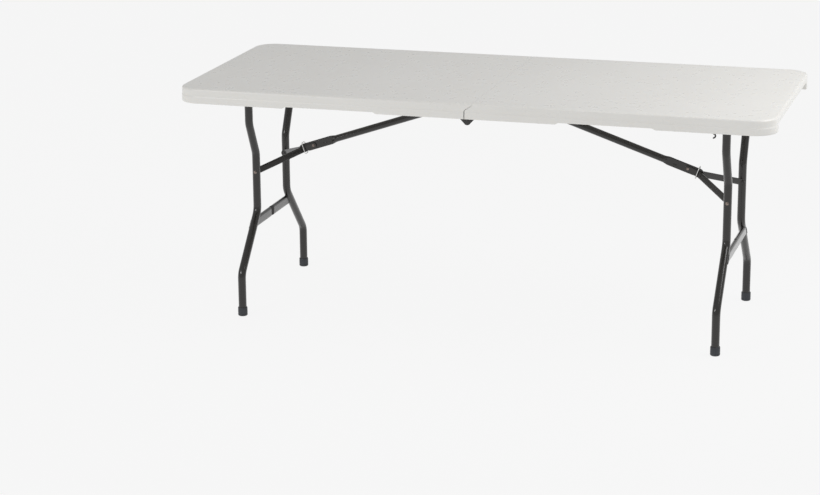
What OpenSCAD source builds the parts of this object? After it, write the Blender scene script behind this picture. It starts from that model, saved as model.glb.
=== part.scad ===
// Fold-in-half picnic table: two blow-moulded board halves on steel side rails, a centre
// hinge, two wishbone leg frames and two over-centre braces with sliding lock rings.
// Millimetres, +Z up, origin on the floor under the middle of the table, length along X.

/* [Table] */
// Overall length of the open table
table_length = 1830; // [1500:10:2440]
// Overall width of the open table
table_width = 760; // [600:5:900]
// Height of the top surface above the floor
table_height = 740; // [650:5:780]

/* [Board] */
// Plan radius of the four outer corners
corner_radius = 67; // [30:1:120]
// Thickness of the board between top surface and underside field
board_thickness = 29; // [20:1:35]
// Depth of the rim below the top surface, at its deep parts
rim_depth = 46; // [36:1:60]
// Width of the rim band seen from below
rim_width = 24; // [16:1:36]
// Height of the step where the long rim turns shallow
rim_step = 5; // [0:0.5:10]
// Start and end of the shallow stretch of the long rim, from the centre
rim_step_span = [273, 572]; // [0:1:900]
// Edge depth across the short end, between the corner lobes (hand hold)
end_rim_depth = 25; // [20:1:46]
// Half length of that hand hold
hand_hold_half = 295; // [200:1:310]
// Rounding of the upper edge
edge_round = 7; // [2:0.5:12]
// Gap between the two halves when open, below the lap
seam_gap = 2.4; // [0.4:0.1:3]
// Gap along the lap itself
lap_gap = 1; // [0.4:0.1:2]
// How far the left half laps over the right one at the top of the seam
lip_reach = 22; // [10:1:40]
// Depth of that lap below the top surface
lip_depth = 22; // [12:1:28]

/* [Rails] */
// Distance of the rail centre from the table centre line
rail_y = 335; // [300:1:350]
// Width of the rail's lower flange
rail_width = 24; // [18:1:34]
// Width of the rail's upper flange, which is screwed to the board
rail_flange = 38; // [24:1:50]
// Height of the rail
rail_height = 21.5; // [18:0.5:36]
// Height of the rail's top above the leg axle
rail_rise = 13; // [11:0.5:16]
// Sheet thickness of the rail
rail_wall = 1.8; // [1:0.1:3]
// Height of the lip on the rail's inner edge
rail_lip = 3.2; // [2:0.1:8]
// Start and end of each rail, from the centre
rail_span = [6, 812]; // [0:1:900]

/* [Centre hinge] */
// Depth of the hinge axis below the top surface
hinge_drop = 59; // [48:1:70]
// Radius of the hinge knuckle
knuckle_radius = 12; // [8:0.5:16]
// Radius of the hinge pin
hinge_pin_radius = 4; // [2.5:0.5:6]

/* [Leg frame] */
// Distance of the leg axle from the centre hinge
axle_x = 749; // [650:1:800]
// Depth of the axle below the top surface
axle_drop = 39; // [30:1:50]
// Radius of the axle tube
axle_radius = 10; // [8:0.5:14]
// Radius of the leg tube
leg_radius = 12.5; // [9:0.5:16]
// Wall of the leg and axle tubes
tube_wall = 1.5; // [1:0.1:3]
// Half spread of the legs at the axle
leg_spread_top = 191; // [120:1:260]
// Half spread of the legs between the bends
leg_spread_mid = 137; // [40:1:200]
// Half spread of the feet
leg_spread_foot = 290; // [150:1:310]
// Distances below the axle of the four bends
leg_bends = [105, 212, 398, 565]; // [50:1:650]
// Radius of the tube bends
bend_radius = 45; // [25:1:90]
// Distance of the cross bar below the axle
crossbar_drop = 436; // [400:1:560]
// Height and thickness of the cross bar
crossbar_section = [32, 14]; // [6:1:50]
// How far the cross bar sits to the outer side of the legs
crossbar_offset = 6; // [0:0.5:12]
// Clearance of the saddle that the folded brace lies in
saddle_gap = 1.2; // [0.5:0.1:4]
// Radius and height of the foot caps
foot_size = [15, 28]; // [10:1:40]

/* [Brace] */
// Position of the upper brace pivot: from the centre, and below the top surface
brace_pivot = [16, 46]; // [10:1:80]
// Distance below the axle of the rivets that join the straps to the legs
strap_rivet_drop = 271; // [220:1:340]
// Extra length that keeps the open brace just short of a straight line
brace_slack = 0.4; // [0.1:0.1:4]
// Rise of the folded brace tube towards its lower end, in degrees
brace_lift = 1.9; // [0:0.1:4]
// Radius of the brace tube
brace_radius = 11; // [8:0.5:14]
// Height and thickness of the flattened ends of the brace tube
brace_flat = [28, 5]; // [4:1:34]
// Length of flattened tube before and beyond the strap rivet
brace_flat_span = [62, 50]; // [20:1:90]
// Height and thickness of the straps
strap_section = [20, 3]; // [2:1:30]
// Length of the straps' parallel part
strap_straight = 38; // [30:1:60]
// Wire radius of the lock ring
ring_wire = 1.5; // [1:0.1:3]
// Half height and half width inside the lock ring
ring_inside = [17, 12.5]; // [10:0.5:24]
// Position of the locked ring beyond the strap rivet
ring_offset = 32; // [20:1:40]

/* [Hidden] */

half_length = table_length / 2;
half_width = table_width / 2;
top_z = table_height;
floor_z = top_z - board_thickness;
rim_z = top_z - rim_depth;
end_rim_z = top_z - end_rim_depth;
hinge_z = top_z - hinge_drop;
axle_z = top_z - axle_drop;
rail_top = axle_z + rail_rise;
rail_low = rail_top - rail_height;
rail_out = rail_y + rail_width / 2;
rail_in = rail_y - rail_width / 2;
flange_in = rail_out - rail_flange;
round_fn = 40;
small_fn = 28;
eps = 0.02;
run_fit = 0.05;
bend_lap = 0.5;
bend_step = 0.12;
plastic_colour = [0.86, 0.85, 0.82];
steel_colour = [0.17, 0.16, 0.15];
zinc_colour = [0.72, 0.72, 0.72];
cap_colour = [0.14, 0.15, 0.16];

// brace geometry: upper pivot A, leg rivet B open and folded, joint J between tube and straps
ax = brace_pivot[0];
az = top_z - brace_pivot[1];
bx = axle_x;
bz = axle_z - strap_rivet_drop;
fx = axle_x - strap_rivet_drop;
fz = axle_z;
ab_open = norm([bx - ax, bz - az]);
both_len = ab_open + brace_slack;
fold_vec = [fx - ax, fz - az];
lift_vec = [cos(brace_lift), sin(brace_lift)];
tube_len = (both_len * both_len - fold_vec * fold_vec) / (2 * (both_len - lift_vec * fold_vec));
strap_len = both_len - tube_len;
cos_a = (ab_open * ab_open + tube_len * tube_len - strap_len * strap_len) / (2 * ab_open * tube_len);
tube_angle = atan2(az - bz, bx - ax) - acos(min(1, cos_a));
jx = ax + tube_len * cos(tube_angle);
jz = az - tube_len * sin(tube_angle);
strap_angle = atan2(jz - bz, bx - jx);
jfx = ax + tube_len * cos(brace_lift);
jfz = az + tube_len * sin(brace_lift);
// turn of the brace tube, and of the straps against it, while the legs fold by 90 degrees
tube_turn = tube_angle + brace_lift;
strap_turn = atan2(jfz - fz, fx - jfx) - strap_angle + tube_turn;
echo(brace_joint = [jx, jz], tube_angle = tube_angle, strap_angle = strap_angle);
echo(tube_turn = tube_turn, strap_turn = strap_turn, tube_len = tube_len, strap_len = strap_len);
echo(folded_joint = [jfx, jfz], folded_rivet = [fx, fz]);

// thickness of a foot cap's sole under the tube
cap_gap = 4;
strap_in = brace_flat[1] / 2 + 0.4;
strap_ear = leg_spread_mid - leg_radius - 0.5 - strap_section[1];
pin_r = 3;

// leg centre line: [spread, distance below the axle] at each corner, foot end last
leg_path = [
  [leg_spread_top, 0],
  [leg_spread_top, leg_bends[0]],
  [leg_spread_mid, leg_bends[1]],
  [leg_spread_mid, leg_bends[2]],
  [leg_spread_foot, leg_bends[3]],
  [leg_spread_foot, axle_z - cap_gap]
];

// ---------- helpers ----------
// the left half is the right half turned half a turn about Z, so front and back swap
module side_turn(left) {
  rotate([0, 0, left ? 180 : 0]) children();
}

// rod along Y from y0 to y1 at (x, z)
module rod_y(x, z, r, y0, y1, f = small_fn) {
  translate([x, y0, z]) rotate([-90, 0, 0]) cylinder(h = y1 - y0, r = r, $fn = f);
}

function seg_dir(a, b) = (b - a) / norm(b - a);
function turn_angle(a, b, c) = acos(max(-1, min(1, seg_dir(a, b) * seg_dir(b, c))));
function cut_len(a, b, c, r) = r * tan(turn_angle(a, b, c) / 2);

// hollow or solid straight bar along Z
module tube_bar(h, ro, ri) {
  difference() {
    cylinder(h = h, r = ro, $fn = round_fn);
    if (ri > 0) translate([0, 0, -eps]) cylinder(h = h + 2 * eps, r = ri, $fn = round_fn);
  }
}

// bend at corner b between a and c, all [y, z]
module bend_piece(a, b, c, r, rb) {
  u = seg_dir(a, b);
  v = seg_dir(b, c);
  t = turn_angle(a, b, c);
  s = sign(u[0] * v[1] - u[1] * v[0]);
  n = [-u[1], u[0]] * s;
  o = b - u * rb * tan(t / 2) + n * rb;
  a0 = atan2(-n[1], -n[0]);
  translate([0, o[0], o[1]]) rotate([90, 0, 90]) rotate([0, 0, s > 0 ? a0 : a0 - t])
    rotate_extrude(angle = t, $fn = 96) translate([rb, 0]) circle(r = r, $fn = round_fn);
}

// straight rod from p to q in the YZ plane
module rod_line(p, q, r) {
  d = q - p;
  translate([0, p[0], p[1]]) rotate([-atan2(d[0], d[1]), 0, 0]) cylinder(h = norm(d), r = r, $fn = round_fn);
}

// bent rod through the points of path; the bends are a hair thicker than the straights
module bent_rod(path, r, rb) {
  n = len(path);
  for (i = [0 : n - 2]) {
    d = seg_dir(path[i], path[i + 1]);
    c0 = i == 0 ? 0 : cut_len(path[i - 1], path[i], path[i + 1], rb) - bend_lap;
    c1 = i == n - 2 ? 0 : cut_len(path[i], path[i + 1], path[i + 2], rb) - bend_lap;
    rod_line(path[i] + d * c0, path[i + 1] - d * c1, r);
  }
  for (i = [1 : n - 2]) bend_piece(path[i - 1], path[i], path[i + 1], r + bend_step, rb);
}

// ---------- board ----------
// cross-section of the board's edge; x runs outward from the corner centre, y is height
module edge_profile(low_z) {
  r = corner_radius;
  polygon([
    [0, floor_z], [0, top_z], [r - edge_round, top_z], [r, top_z - edge_round],
    [r, low_z + 3], [r - 2, low_z], [r - rim_width, low_z], [r - rim_width - 3, floor_z]
  ]);
  translate([r - edge_round, top_z - edge_round]) circle(r = edge_round, $fn = round_fn);
}

module long_edge(s) {
  x0 = seam_gap / 2;
  translate([x0, s * (half_width - corner_radius), 0]) rotate([90, 0, 90])
    linear_extrude(half_length - corner_radius - x0)
      scale([s, 1]) edge_profile(rim_z);
}

// short edge: thin along the hand hold, full depth where the corner lobes run on
module end_edge() {
  x = half_length - corner_radius;
  lobe = half_width - corner_radius - hand_hold_half;
  translate([x, hand_hold_half, 0]) rotate([90, 0, 0])
    linear_extrude(2 * hand_hold_half) edge_profile(end_rim_z);
  for (y = [hand_hold_half + lobe, -hand_hold_half]) translate([x, y, 0]) rotate([90, 0, 0])
    linear_extrude(lobe) edge_profile(rim_z);
}

module corner_edge(s) {
  translate([half_length - corner_radius, s * (half_width - corner_radius), 0])
    rotate([0, 0, s > 0 ? 0 : -90]) rotate_extrude(angle = 90, $fn = 96) edge_profile(rim_z);
}

// brace recess: its start, its step and its end along X, its half width, and its two depths
recess_x = [150, 425, 697];
recess_half = 19;
recess_rise = [10, 21];

// grooves and pockets moulded into the underside
module underside_cuts() {
  groove_top = axle_z + foot_size[0] + 1.5;
  // rail seats
  for (s = [-1, 1]) translate([-1, s > 0 ? flange_in - 2 : -rail_out - 2, floor_z - 1])
    cube([rail_span[1] + 3, rail_flange + 4, rail_top - floor_z + 1.2]);
  // axle groove
  translate([axle_x - 18, -flange_in, floor_z - 1]) cube([36, 2 * flange_in, groove_top - floor_z + 2]);
  // leg grooves, laid along the folded legs
  for (s = [-1, 1]) leg_groove(s, groove_top);
  // stepped brace recess and strap grooves
  translate([recess_x[0], -recess_half, floor_z - 1])
    cube([recess_x[2] - recess_x[0], 2 * recess_half, recess_rise[0] + 1]);
  translate([recess_x[1], -recess_half, floor_z - 1])
    cube([recess_x[2] - recess_x[1], 2 * recess_half, recess_rise[1] + 1]);
  for (s = [-1, 1]) strap_groove(s);
  // scoops beside the axle and at mid length, next to the rails
  for (s = [-1, 1]) for (x = [axle_x - 46, axle_x + 38]) scoop(x, s, 27, 262);
  for (s = [-1, 1]) scoop(434, s, 23, 258);
  // blind holes in the corner pads
  for (s = [-1, 1]) for (y = [285, 342]) translate([855, s * y, floor_z - 1])
    cylinder(h = 9, r = 5.5, $fn = small_fn);
}

module scoop(x, s, r, y) {
  translate([x, s * y, floor_z - 1]) cylinder(h = 8, r = r, $fn = round_fn);
  translate([x - r, s > 0 ? y : -flange_in, floor_z - 1]) cube([2 * r, flange_in - y, 8]);
}

// corner i of a line offset sideways by w, with mitred corners
function side_normal(a, b) = [-seg_dir(a, b)[1], seg_dir(a, b)[0]];
function mitre_dir(a, b, c) = (side_normal(a, b) + side_normal(b, c)) / norm(side_normal(a, b) + side_normal(b, c));
function offset_corner(p, i, w) =
  i == 0 ? p[0] + side_normal(p[0], p[1]) * w :
  i == len(p) - 1 ? p[i] + side_normal(p[i - 1], p[i]) * w :
  p[i] + mitre_dir(p[i - 1], p[i], p[i + 1]) * w
    / (mitre_dir(p[i - 1], p[i], p[i + 1]) * side_normal(p[i - 1], p[i]));

// groove for one folded leg and its foot cap, s is the side
module leg_groove(s, z1) {
  w = foot_size[0] + 1.5;
  n = len(leg_path);
  past_cap = [for (i = [0 : n - 1]) i == n - 1 ? cap_gap + 2 : 0];
  line = [for (i = [0 : n - 1]) [axle_x - leg_path[i][1] - past_cap[i], s * leg_path[i][0]]];
  translate([0, 0, floor_z - 1]) linear_extrude(z1 - floor_z + 1) polygon(concat(
    [for (i = [0 : n - 1]) offset_corner(line, i, w)],
    [for (i = [n - 1 : -1 : 0]) offset_corner(line, i, -w)]
  ));
}

module strap_groove(s) {
  z0 = floor_z - 1;
  h = 13.5;
  x0 = jfx - strap_straight + 16;
  run = strap_ear - strap_in + 8;
  translate([x0, 0, z0]) rotate([0, 0, 180 - s * 45]) translate([0, -15, 0])
    cube([run * sqrt(2) + 14, 30, h]);
  translate([fx - 16, s > 0 ? strap_ear - 16 : -strap_ear - 8, z0]) cube([36, 24, h]);
}

module rail_lug(s) {
  translate([rail_span[1] + 1, s * rail_y, axle_z + 4]) rotate([0, 90, 0])
    cylinder(h = 52, r1 = 8.5, r2 = 9.5, $fn = small_fn);
}

module half_board() {
  x0 = seam_gap / 2;
  difference() {
    union() {
      translate([x0, corner_radius - half_width, floor_z])
        cube([half_length - corner_radius - x0, table_width - 2 * corner_radius, board_thickness]);
      for (s = [-1, 1]) long_edge(s);
      end_edge();
      for (s = [-1, 1]) corner_edge(s);
      // low rib along the seam, open at the brace bracket
      for (s = [-1, 1]) translate([x0, s > 0 ? 22 : -flange_in + 6, floor_z - 10])
        cube([18, flange_in - 28, 11]);
    }
    // shallow stretch of both long rims
    for (s = [-1, 1]) translate([rim_step_span[0], s > 0 ? half_width - 40 : -half_width - 2, rim_z - 1])
      cube([rim_step_span[1] - rim_step_span[0], 42, rim_step + 1]);
    underside_cuts();
    screw_places() translate([0, 0, floor_z - 1]) cylinder(h = 18, r = 2.3, $fn = small_fn);
    bracket_screw_places() translate([0, 0, floor_z - 1]) cylinder(h = 14, r = 2.3, $fn = small_fn);
  }
  for (s = [-1, 1]) rail_lug(s);
}

// triangle-and-step shape of the lap at the seam, in the XZ plane
module lap_profile(grow) {
  polygon([
    [-30, top_z - lip_depth], [grow, top_z - lip_depth], [grow + lip_reach, top_z - 3],
    [grow + lip_reach, top_z + 1], [-30, top_z + 1]
  ]);
}

module lap_body(grow, over) {
  intersection() {
    rotate([90, 0, 0]) translate([0, 0, -half_width - over]) linear_extrude(table_width + 2 * over)
      lap_profile(grow);
    translate([-40, 0, 0]) rotate([90, 0, 90]) linear_extrude(90) union() {
      translate([-half_width + edge_round - over, top_z - 30])
        square([table_width - 2 * edge_round + 2 * over, 30 + over]);
      translate([-half_width - over, top_z - 30])
        square([table_width + 2 * over, 30 - edge_round + over]);
      for (s = [-1, 1]) translate([s * (half_width - edge_round), top_z - edge_round])
        circle(r = edge_round + over, $fn = round_fn);
    }
  }
}

module table_top_right() color(plastic_colour) difference() {
  half_board();
  lap_body(lap_gap / 2, 0.5);
}

module table_top_left() color(plastic_colour) union() {
  side_turn(true) half_board();
  intersection() {
    lap_body(-lap_gap / 2, 0);
    translate([-seam_gap / 2 - 4, -half_width, 0]) cube([60, table_width, top_z]);
  }
}

// ---------- rails ----------
module rail_profile() {
  translate([rail_in, rail_low]) square([rail_width, rail_wall]);
  translate([rail_out - rail_wall, rail_low]) square([rail_wall, rail_height]);
  translate([flange_in, rail_top - rail_wall]) square([rail_flange, rail_wall]);
  translate([rail_in, rail_low]) square([rail_wall, rail_lip]);
}

module rail(s) {
  difference() {
    translate([rail_span[0], 0, 0]) rotate([90, 0, 90])
      linear_extrude(rail_span[1] - rail_span[0]) scale([s, 1]) rail_profile();
    // lower flange is cut away at the hinge and under the axle
    translate([0, s > 0 ? rail_in - 1 : -rail_out + rail_wall, rail_low - 1])
      cube([78, rail_width + 1 - rail_wall, 6]);
    translate([axle_x - 34, s > 0 ? rail_in - 1 : -rail_out + rail_wall, rail_low - 1])
      cube([68, rail_width + 1 - rail_wall, 6]);
    screw_places() translate([0, 0, rail_top - 4]) cylinder(h = 8, r = 2.3, $fn = small_fn);
    for (x = axle_rivet_x) rod_y(x, axle_z, pin_r, s > 0 ? rail_out - 4 : -rail_out - 2,
      s > 0 ? rail_out + 2 : -rail_out + 4);
    for (x = [34, 62]) rod_y(x, axle_z - 2, pin_r, s > 0 ? rail_out - 4 : -rail_out - 2,
      s > 0 ? rail_out + 2 : -rail_out + 4);
  }
}

axle_rivet_x = [axle_x - 46, axle_x + 46];
screw_x = [96, 238, 380, 522, 664, 800];
screw_y = flange_in + 7;

module screw_places() {
  for (s = [-1, 1]) for (x = screw_x) translate([x, s * screw_y, 0]) children();
}

module rail_screws() {
  screw_places() {
    translate([0, 0, rail_top - rail_wall - 2.4]) cylinder(h = 2.4, r1 = 3.4, r2 = 4.6, $fn = small_fn);
    translate([0, 0, rail_top - rail_wall - 0.1]) cylinder(h = 13, r = 2.2, $fn = small_fn);
  }
}

// ---------- centre hinge ----------
leaf_wall = 3;
leaf_left_y = rail_out - rail_wall - 0.1 - leaf_wall;
leaf_right_y = leaf_left_y - 0.3 - leaf_wall;

module leaf_shape() {
  r = knuckle_radius;
  polygon([
    [-r * cos(50), hinge_z + r * sin(50)], [10, rail_top - 5], [76, rail_top - 5],
    [76, rail_low + 3], [r * cos(60) + 28 * cos(30), hinge_z - r * sin(60) + 28 * sin(30)],
    [r * cos(60), hinge_z - r * sin(60)], [0, hinge_z]
  ]);
  translate([0, hinge_z]) circle(r = r, $fn = round_fn);
}

module hinge_leaf(s, y, hole) {
  difference() {
    union() {
      translate([0, s > 0 ? y + leaf_wall : -y, 0]) rotate([90, 0, 0])
        linear_extrude(leaf_wall) leaf_shape();
      // spacer bosses back to the rail web, and the formed rivet heads
      if (y < leaf_left_y) for (x = [34, 62]) rod_y(x, axle_z - 2, 6,
        s > 0 ? y + leaf_wall - eps : -rail_out + rail_wall, s > 0 ? rail_out - rail_wall : -y - leaf_wall + eps);
      for (x = [34, 62]) rod_y(x, axle_z - 2, pin_r, s > 0 ? y : -rail_out - 1.2,
        s > 0 ? rail_out + 1.2 : -y);
      for (x = [34, 62]) rod_y(x, axle_z - 2, 5, s > 0 ? rail_out : -rail_out - 1.6,
        s > 0 ? rail_out + 1.6 : -rail_out);
    }
    rod_y(0, hinge_z, hole, s > 0 ? y - 1 : -y - leaf_wall - 1, s > 0 ? y + leaf_wall + 1 : -y + 1);
  }
}

module hinge_pin(s) {
  y0 = leaf_right_y - 0.3;
  y1 = leaf_left_y + leaf_wall + 0.05;
  rod_y(0, hinge_z, hinge_pin_radius, s > 0 ? y0 - 1 : -y1 - 1, s > 0 ? y1 + 1 : -y0 + 1);
  rod_y(0, hinge_z, 7, s > 0 ? y0 - 2.2 : -y0, s > 0 ? y0 : -y0 + 2.2);
  rod_y(0, hinge_z, 7, s > 0 ? y1 : -y1 - 2, s > 0 ? y1 + 2 : -y1);
}

// ---------- axle bearings ----------
bracket_wall = 3;
bracket_y = [rail_in + 2, rail_out - rail_wall - 0.1 - bracket_wall];
bracket_low = axle_z - axle_radius - 4;
bracket_floor = 2.5;
// centre (x, z) and radii of the small hook on the bearing of one side
hook_at = [axle_x - 14.5, bracket_low - 6.5];
hook_r = [8.5, 4];

module bracket_shape() {
  z0 = rail_low + rail_wall + 0.1;
  z1 = rail_top - rail_wall - 0.1;
  polygon([
    [axle_x - 54, z0], [axle_x - 33, z0], [axle_x - 14, bracket_low], [axle_x + 14, bracket_low],
    [axle_x + 33, z0], [axle_x + 54, z0], [axle_x + 54, z1], [axle_x - 54, z1]
  ]);
}

// half ring that hangs from the outer plate
module hook_shape() {
  translate(hook_at) difference() {
    circle(r = hook_r[0], $fn = round_fn);
    circle(r = hook_r[1], $fn = round_fn);
    translate([-2 * hook_r[0] - 1.5, -hook_r[0] - 1]) square(2 * hook_r[0] + 2);
  }
}

module axle_bracket(s) {
  difference() {
    union() {
      for (y = bracket_y) translate([0, s > 0 ? y + bracket_wall : -y, 0]) rotate([90, 0, 0])
        linear_extrude(bracket_wall) bracket_shape();
      translate([axle_x - 14, s > 0 ? bracket_y[0] : -bracket_y[1] - bracket_wall, bracket_low])
        cube([28, bracket_y[1] + bracket_wall - bracket_y[0], bracket_floor]);
      if (s < 0) translate([0, -bracket_y[1], 0]) rotate([90, 0, 0])
        linear_extrude(bracket_wall) hook_shape();
    }
    rod_y(axle_x, axle_z, axle_radius + run_fit, s > 0 ? rail_in - 4 : -rail_out - 4,
      s > 0 ? rail_out + 4 : -rail_in + 4, round_fn);
    for (x = axle_rivet_x) rod_y(x, axle_z, pin_r, s > 0 ? rail_in - 4 : -rail_out - 4,
      s > 0 ? rail_out + 4 : -rail_in + 4);
  }
}

module axle_rivets() {
  for (s = [-1, 1]) for (x = axle_rivet_x) {
    y0 = bracket_y[0];
    rod_y(x, axle_z, pin_r, s > 0 ? y0 - 1 : -rail_out - 1, s > 0 ? rail_out + 1 : -y0 + 1);
    rod_y(x, axle_z, 5, s > 0 ? y0 - 1.6 : -y0, s > 0 ? y0 : -y0 + 1.6);
    rod_y(x, axle_z, 5, s > 0 ? rail_out : -rail_out - 1.6, s > 0 ? rail_out + 1.6 : -rail_out);
  }
}

// ---------- leg frame ----------
socket_half = 19;
leg_line = [for (p = leg_path) [p[0], axle_z - p[1]]];
// the bore starts below the socket and runs out of the foot end
bore_line = [
  for (i = [0 : len(leg_line) - 1]) leg_line[i] + [0, i == 0 ? -14 : i == len(leg_line) - 1 ? -1 : 0]
];

module leg_axle() {
  difference() {
    rod_y(axle_x, axle_z, axle_radius, -rail_out + rail_wall + 1, rail_out - rail_wall - 1, round_fn);
    rod_y(axle_x, axle_z, axle_radius - tube_wall, -rail_out, rail_out, round_fn);
  }
}

module one_leg() {
  translate([axle_x, 0, 0]) difference() {
    union() {
      bent_rod(leg_line, leg_radius, bend_radius);
      // socket that wraps the axle
      rod_y(0, axle_z, axle_radius + 3, leg_spread_top - socket_half, leg_spread_top + socket_half, round_fn);
    }
    bent_rod(bore_line, leg_radius - tube_wall, bend_radius);
    rod_y(0, axle_z, axle_radius, leg_spread_top - 30, leg_spread_top + 30, round_fn);
    translate([-20, leg_spread_top - 30, axle_z + axle_radius - 3]) cube([40, 60, 20]);
    rod_y(0, bz, pin_r, leg_spread_mid - 20, leg_spread_mid + 20);
  }
}

module leg(s) {
  if (s > 0) one_leg();
  else translate([2 * axle_x, 0, 0]) rotate([0, 0, 180]) one_leg();
}

// flattened tube between the legs, with a saddle in its inner side for the folded brace
bar_slope = atan2(leg_spread_foot - leg_spread_mid, leg_bends[3] - leg_bends[2]);
bar_reach = leg_spread_mid + (crossbar_drop - leg_bends[2]) * tan(bar_slope);
saddle_x = axle_z - az - (axle_x - crossbar_drop - ax) * tan(brace_lift);

module bar_section(h, w) {
  translate([-w / 2, -h / 2 + w / 2]) square([w, h - w]);
  for (q = [-1, 1]) translate([0, q * (h - w) / 2]) circle(r = w / 2, $fn = round_fn);
}

module bar_rod(h, w, y0, y1) {
  translate([crossbar_offset, y1, axle_z - crossbar_drop]) rotate([90, 0, 0])
    linear_extrude(y1 - y0) bar_section(h, w);
}

module crossbar() {
  h = crossbar_section[0];
  w = crossbar_section[1];
  z = axle_z - crossbar_drop;
  solid_half = brace_radius + 10;
  translate([axle_x, 0, 0]) difference() {
    bar_rod(h, w, -bar_reach - 20, bar_reach + 20);
    bar_rod(h - 2 * tube_wall, w - 2 * tube_wall, solid_half, bar_reach + 21);
    bar_rod(h - 2 * tube_wall, w - 2 * tube_wall, -bar_reach - 21, -solid_half);
    translate([saddle_x, 0, z - h]) cylinder(h = 2 * h, r = brace_radius + saddle_gap, $fn = round_fn);
    for (q = [0, 180]) rotate([0, 0, q]) {
      bent_rod([for (i = [2 : 4]) leg_line[i]], leg_radius, bend_radius);
      translate([-2 * h, bar_reach, z]) rotate([bar_slope, 0, 0]) translate([0, 0, -2 * h])
        cube([4 * h, 3 * h, 4 * h]);
    }
  }
}

module strap_rivets() {
  y0 = leg_spread_mid - leg_radius;
  y1 = leg_spread_mid + leg_radius;
  for (s = [-1, 1]) {
    rod_y(axle_x, bz, pin_r, s > 0 ? y0 + 0.2 : -y1 - 0.5, s > 0 ? y1 + 0.5 : -y0 - 0.2);
    rod_y(axle_x, bz, 5.5, s > 0 ? y1 : -y1 - 2, s > 0 ? y1 + 2 : -y1);
  }
}

module foot_cap(s) {
  r = foot_size[0];
  translate([axle_x, s * leg_spread_foot, 0]) difference() {
    union() {
      cylinder(h = 3, r1 = r - 2.5, r2 = r, $fn = round_fn);
      translate([0, 0, 3]) cylinder(h = foot_size[1] - 4.5, r = r, $fn = round_fn);
      translate([0, 0, foot_size[1] - 1.5]) cylinder(h = 1.5, r1 = r, r2 = r - 1.2, $fn = round_fn);
    }
    translate([0, 0, cap_gap]) cylinder(h = foot_size[1], r = leg_radius, $fn = round_fn);
  }
}

// ---------- brace ----------
// frame with its origin at the upper pivot and X along the open brace tube
module along_tube() {
  translate([ax, 0, az]) rotate([0, tube_angle, 0]) children();
}

module along_strap() {
  translate([jx, 0, jz]) rotate([0, strap_angle, 0]) children();
}

module brace_tube() {
  h = brace_flat[0];
  w = brace_flat[1];
  s0 = 30;
  s1 = tube_len - brace_flat_span[0] - 18;
  s2 = tube_len - brace_flat_span[0];
  s3 = tube_len + brace_flat_span[1];
  along_tube() difference() {
    union() {
      translate([s0, 0, 0]) rotate([0, 90, 0]) tube_bar(s1 - s0, brace_radius, brace_radius - tube_wall);
      // flattened lower end with its hook tip
      hull() {
        translate([s1, 0, 0]) rotate([0, 90, 0]) cylinder(h = 0.5, r = brace_radius, $fn = 32);
        translate([s2, -w / 2, -h / 2]) cube([1, w, h]);
      }
      translate([s2, -w / 2, -h / 2]) cube([s3 - h / 2 - s2, w, h]);
      rod_y(s3 - h / 2, 0, h / 2, -w / 2, w / 2, round_fn);
      // flattened upper end around the pivot
      hull() {
        translate([s0 - 0.5, 0, 0]) rotate([0, 90, 0]) cylinder(h = 0.5, r = brace_radius, $fn = 32);
        translate([14, -w / 2, -brace_radius]) cube([1, w, 2 * brace_radius]);
      }
      translate([0, -w / 2, -brace_radius]) cube([15, w, 2 * brace_radius]);
      rod_y(0, 0, brace_radius, -w / 2, w / 2, round_fn);
    }
    rod_y(0, 0, pin_r + run_fit, -w, w);
    rod_y(tube_len, 0, pin_r + run_fit, -w, w);
    // notch under the hook tip
    rod_y(tube_len + 25, -h / 2 - 1, 5, -w, w);
  }
}

module bracket_screw_places() {
  for (s = [-1, 1]) translate([ax, s * 13, 0]) children();
}

module brace_bracket() {
  y0 = brace_flat[1] / 2 + 0.3;
  difference() {
    union() {
      for (s = [-1, 1]) {
        translate([ax - 13, s > 0 ? y0 : -y0 - 2.5, az]) cube([26, 2.5, floor_z - az]);
        rod_y(ax, az, 11, s > 0 ? y0 : -y0 - 2.5, s > 0 ? y0 + 2.5 : -y0, round_fn);
      }
      translate([ax - 13, -20, floor_z - 2]) cube([26, 40, 2]);
    }
    rod_y(ax, az, pin_r, -20, 20);
    bracket_screw_places() translate([0, 0, floor_z - 4]) cylinder(h = 8, r = 2.3, $fn = small_fn);
  }
}

// pivot pin with two heads, and the two screws that hold the bracket
module brace_pin() {
  y1 = brace_flat[1] / 2 + 0.3 + 2.5;
  rod_y(ax, az, pin_r, -y1 - 0.5, y1 + 0.5);
  for (s = [-1, 1]) rod_y(ax, az, 5, s > 0 ? y1 : -y1 - 1.8, s > 0 ? y1 + 1.8 : -y1);
  bracket_screw_places() {
    translate([0, 0, floor_z - 4.4]) cylinder(h = 2.4, r1 = 3.4, r2 = 4.4, $fn = small_fn);
    translate([0, 0, floor_z - 2.1]) cylinder(h = 13, r = 2.2, $fn = small_fn);
  }
}

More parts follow.
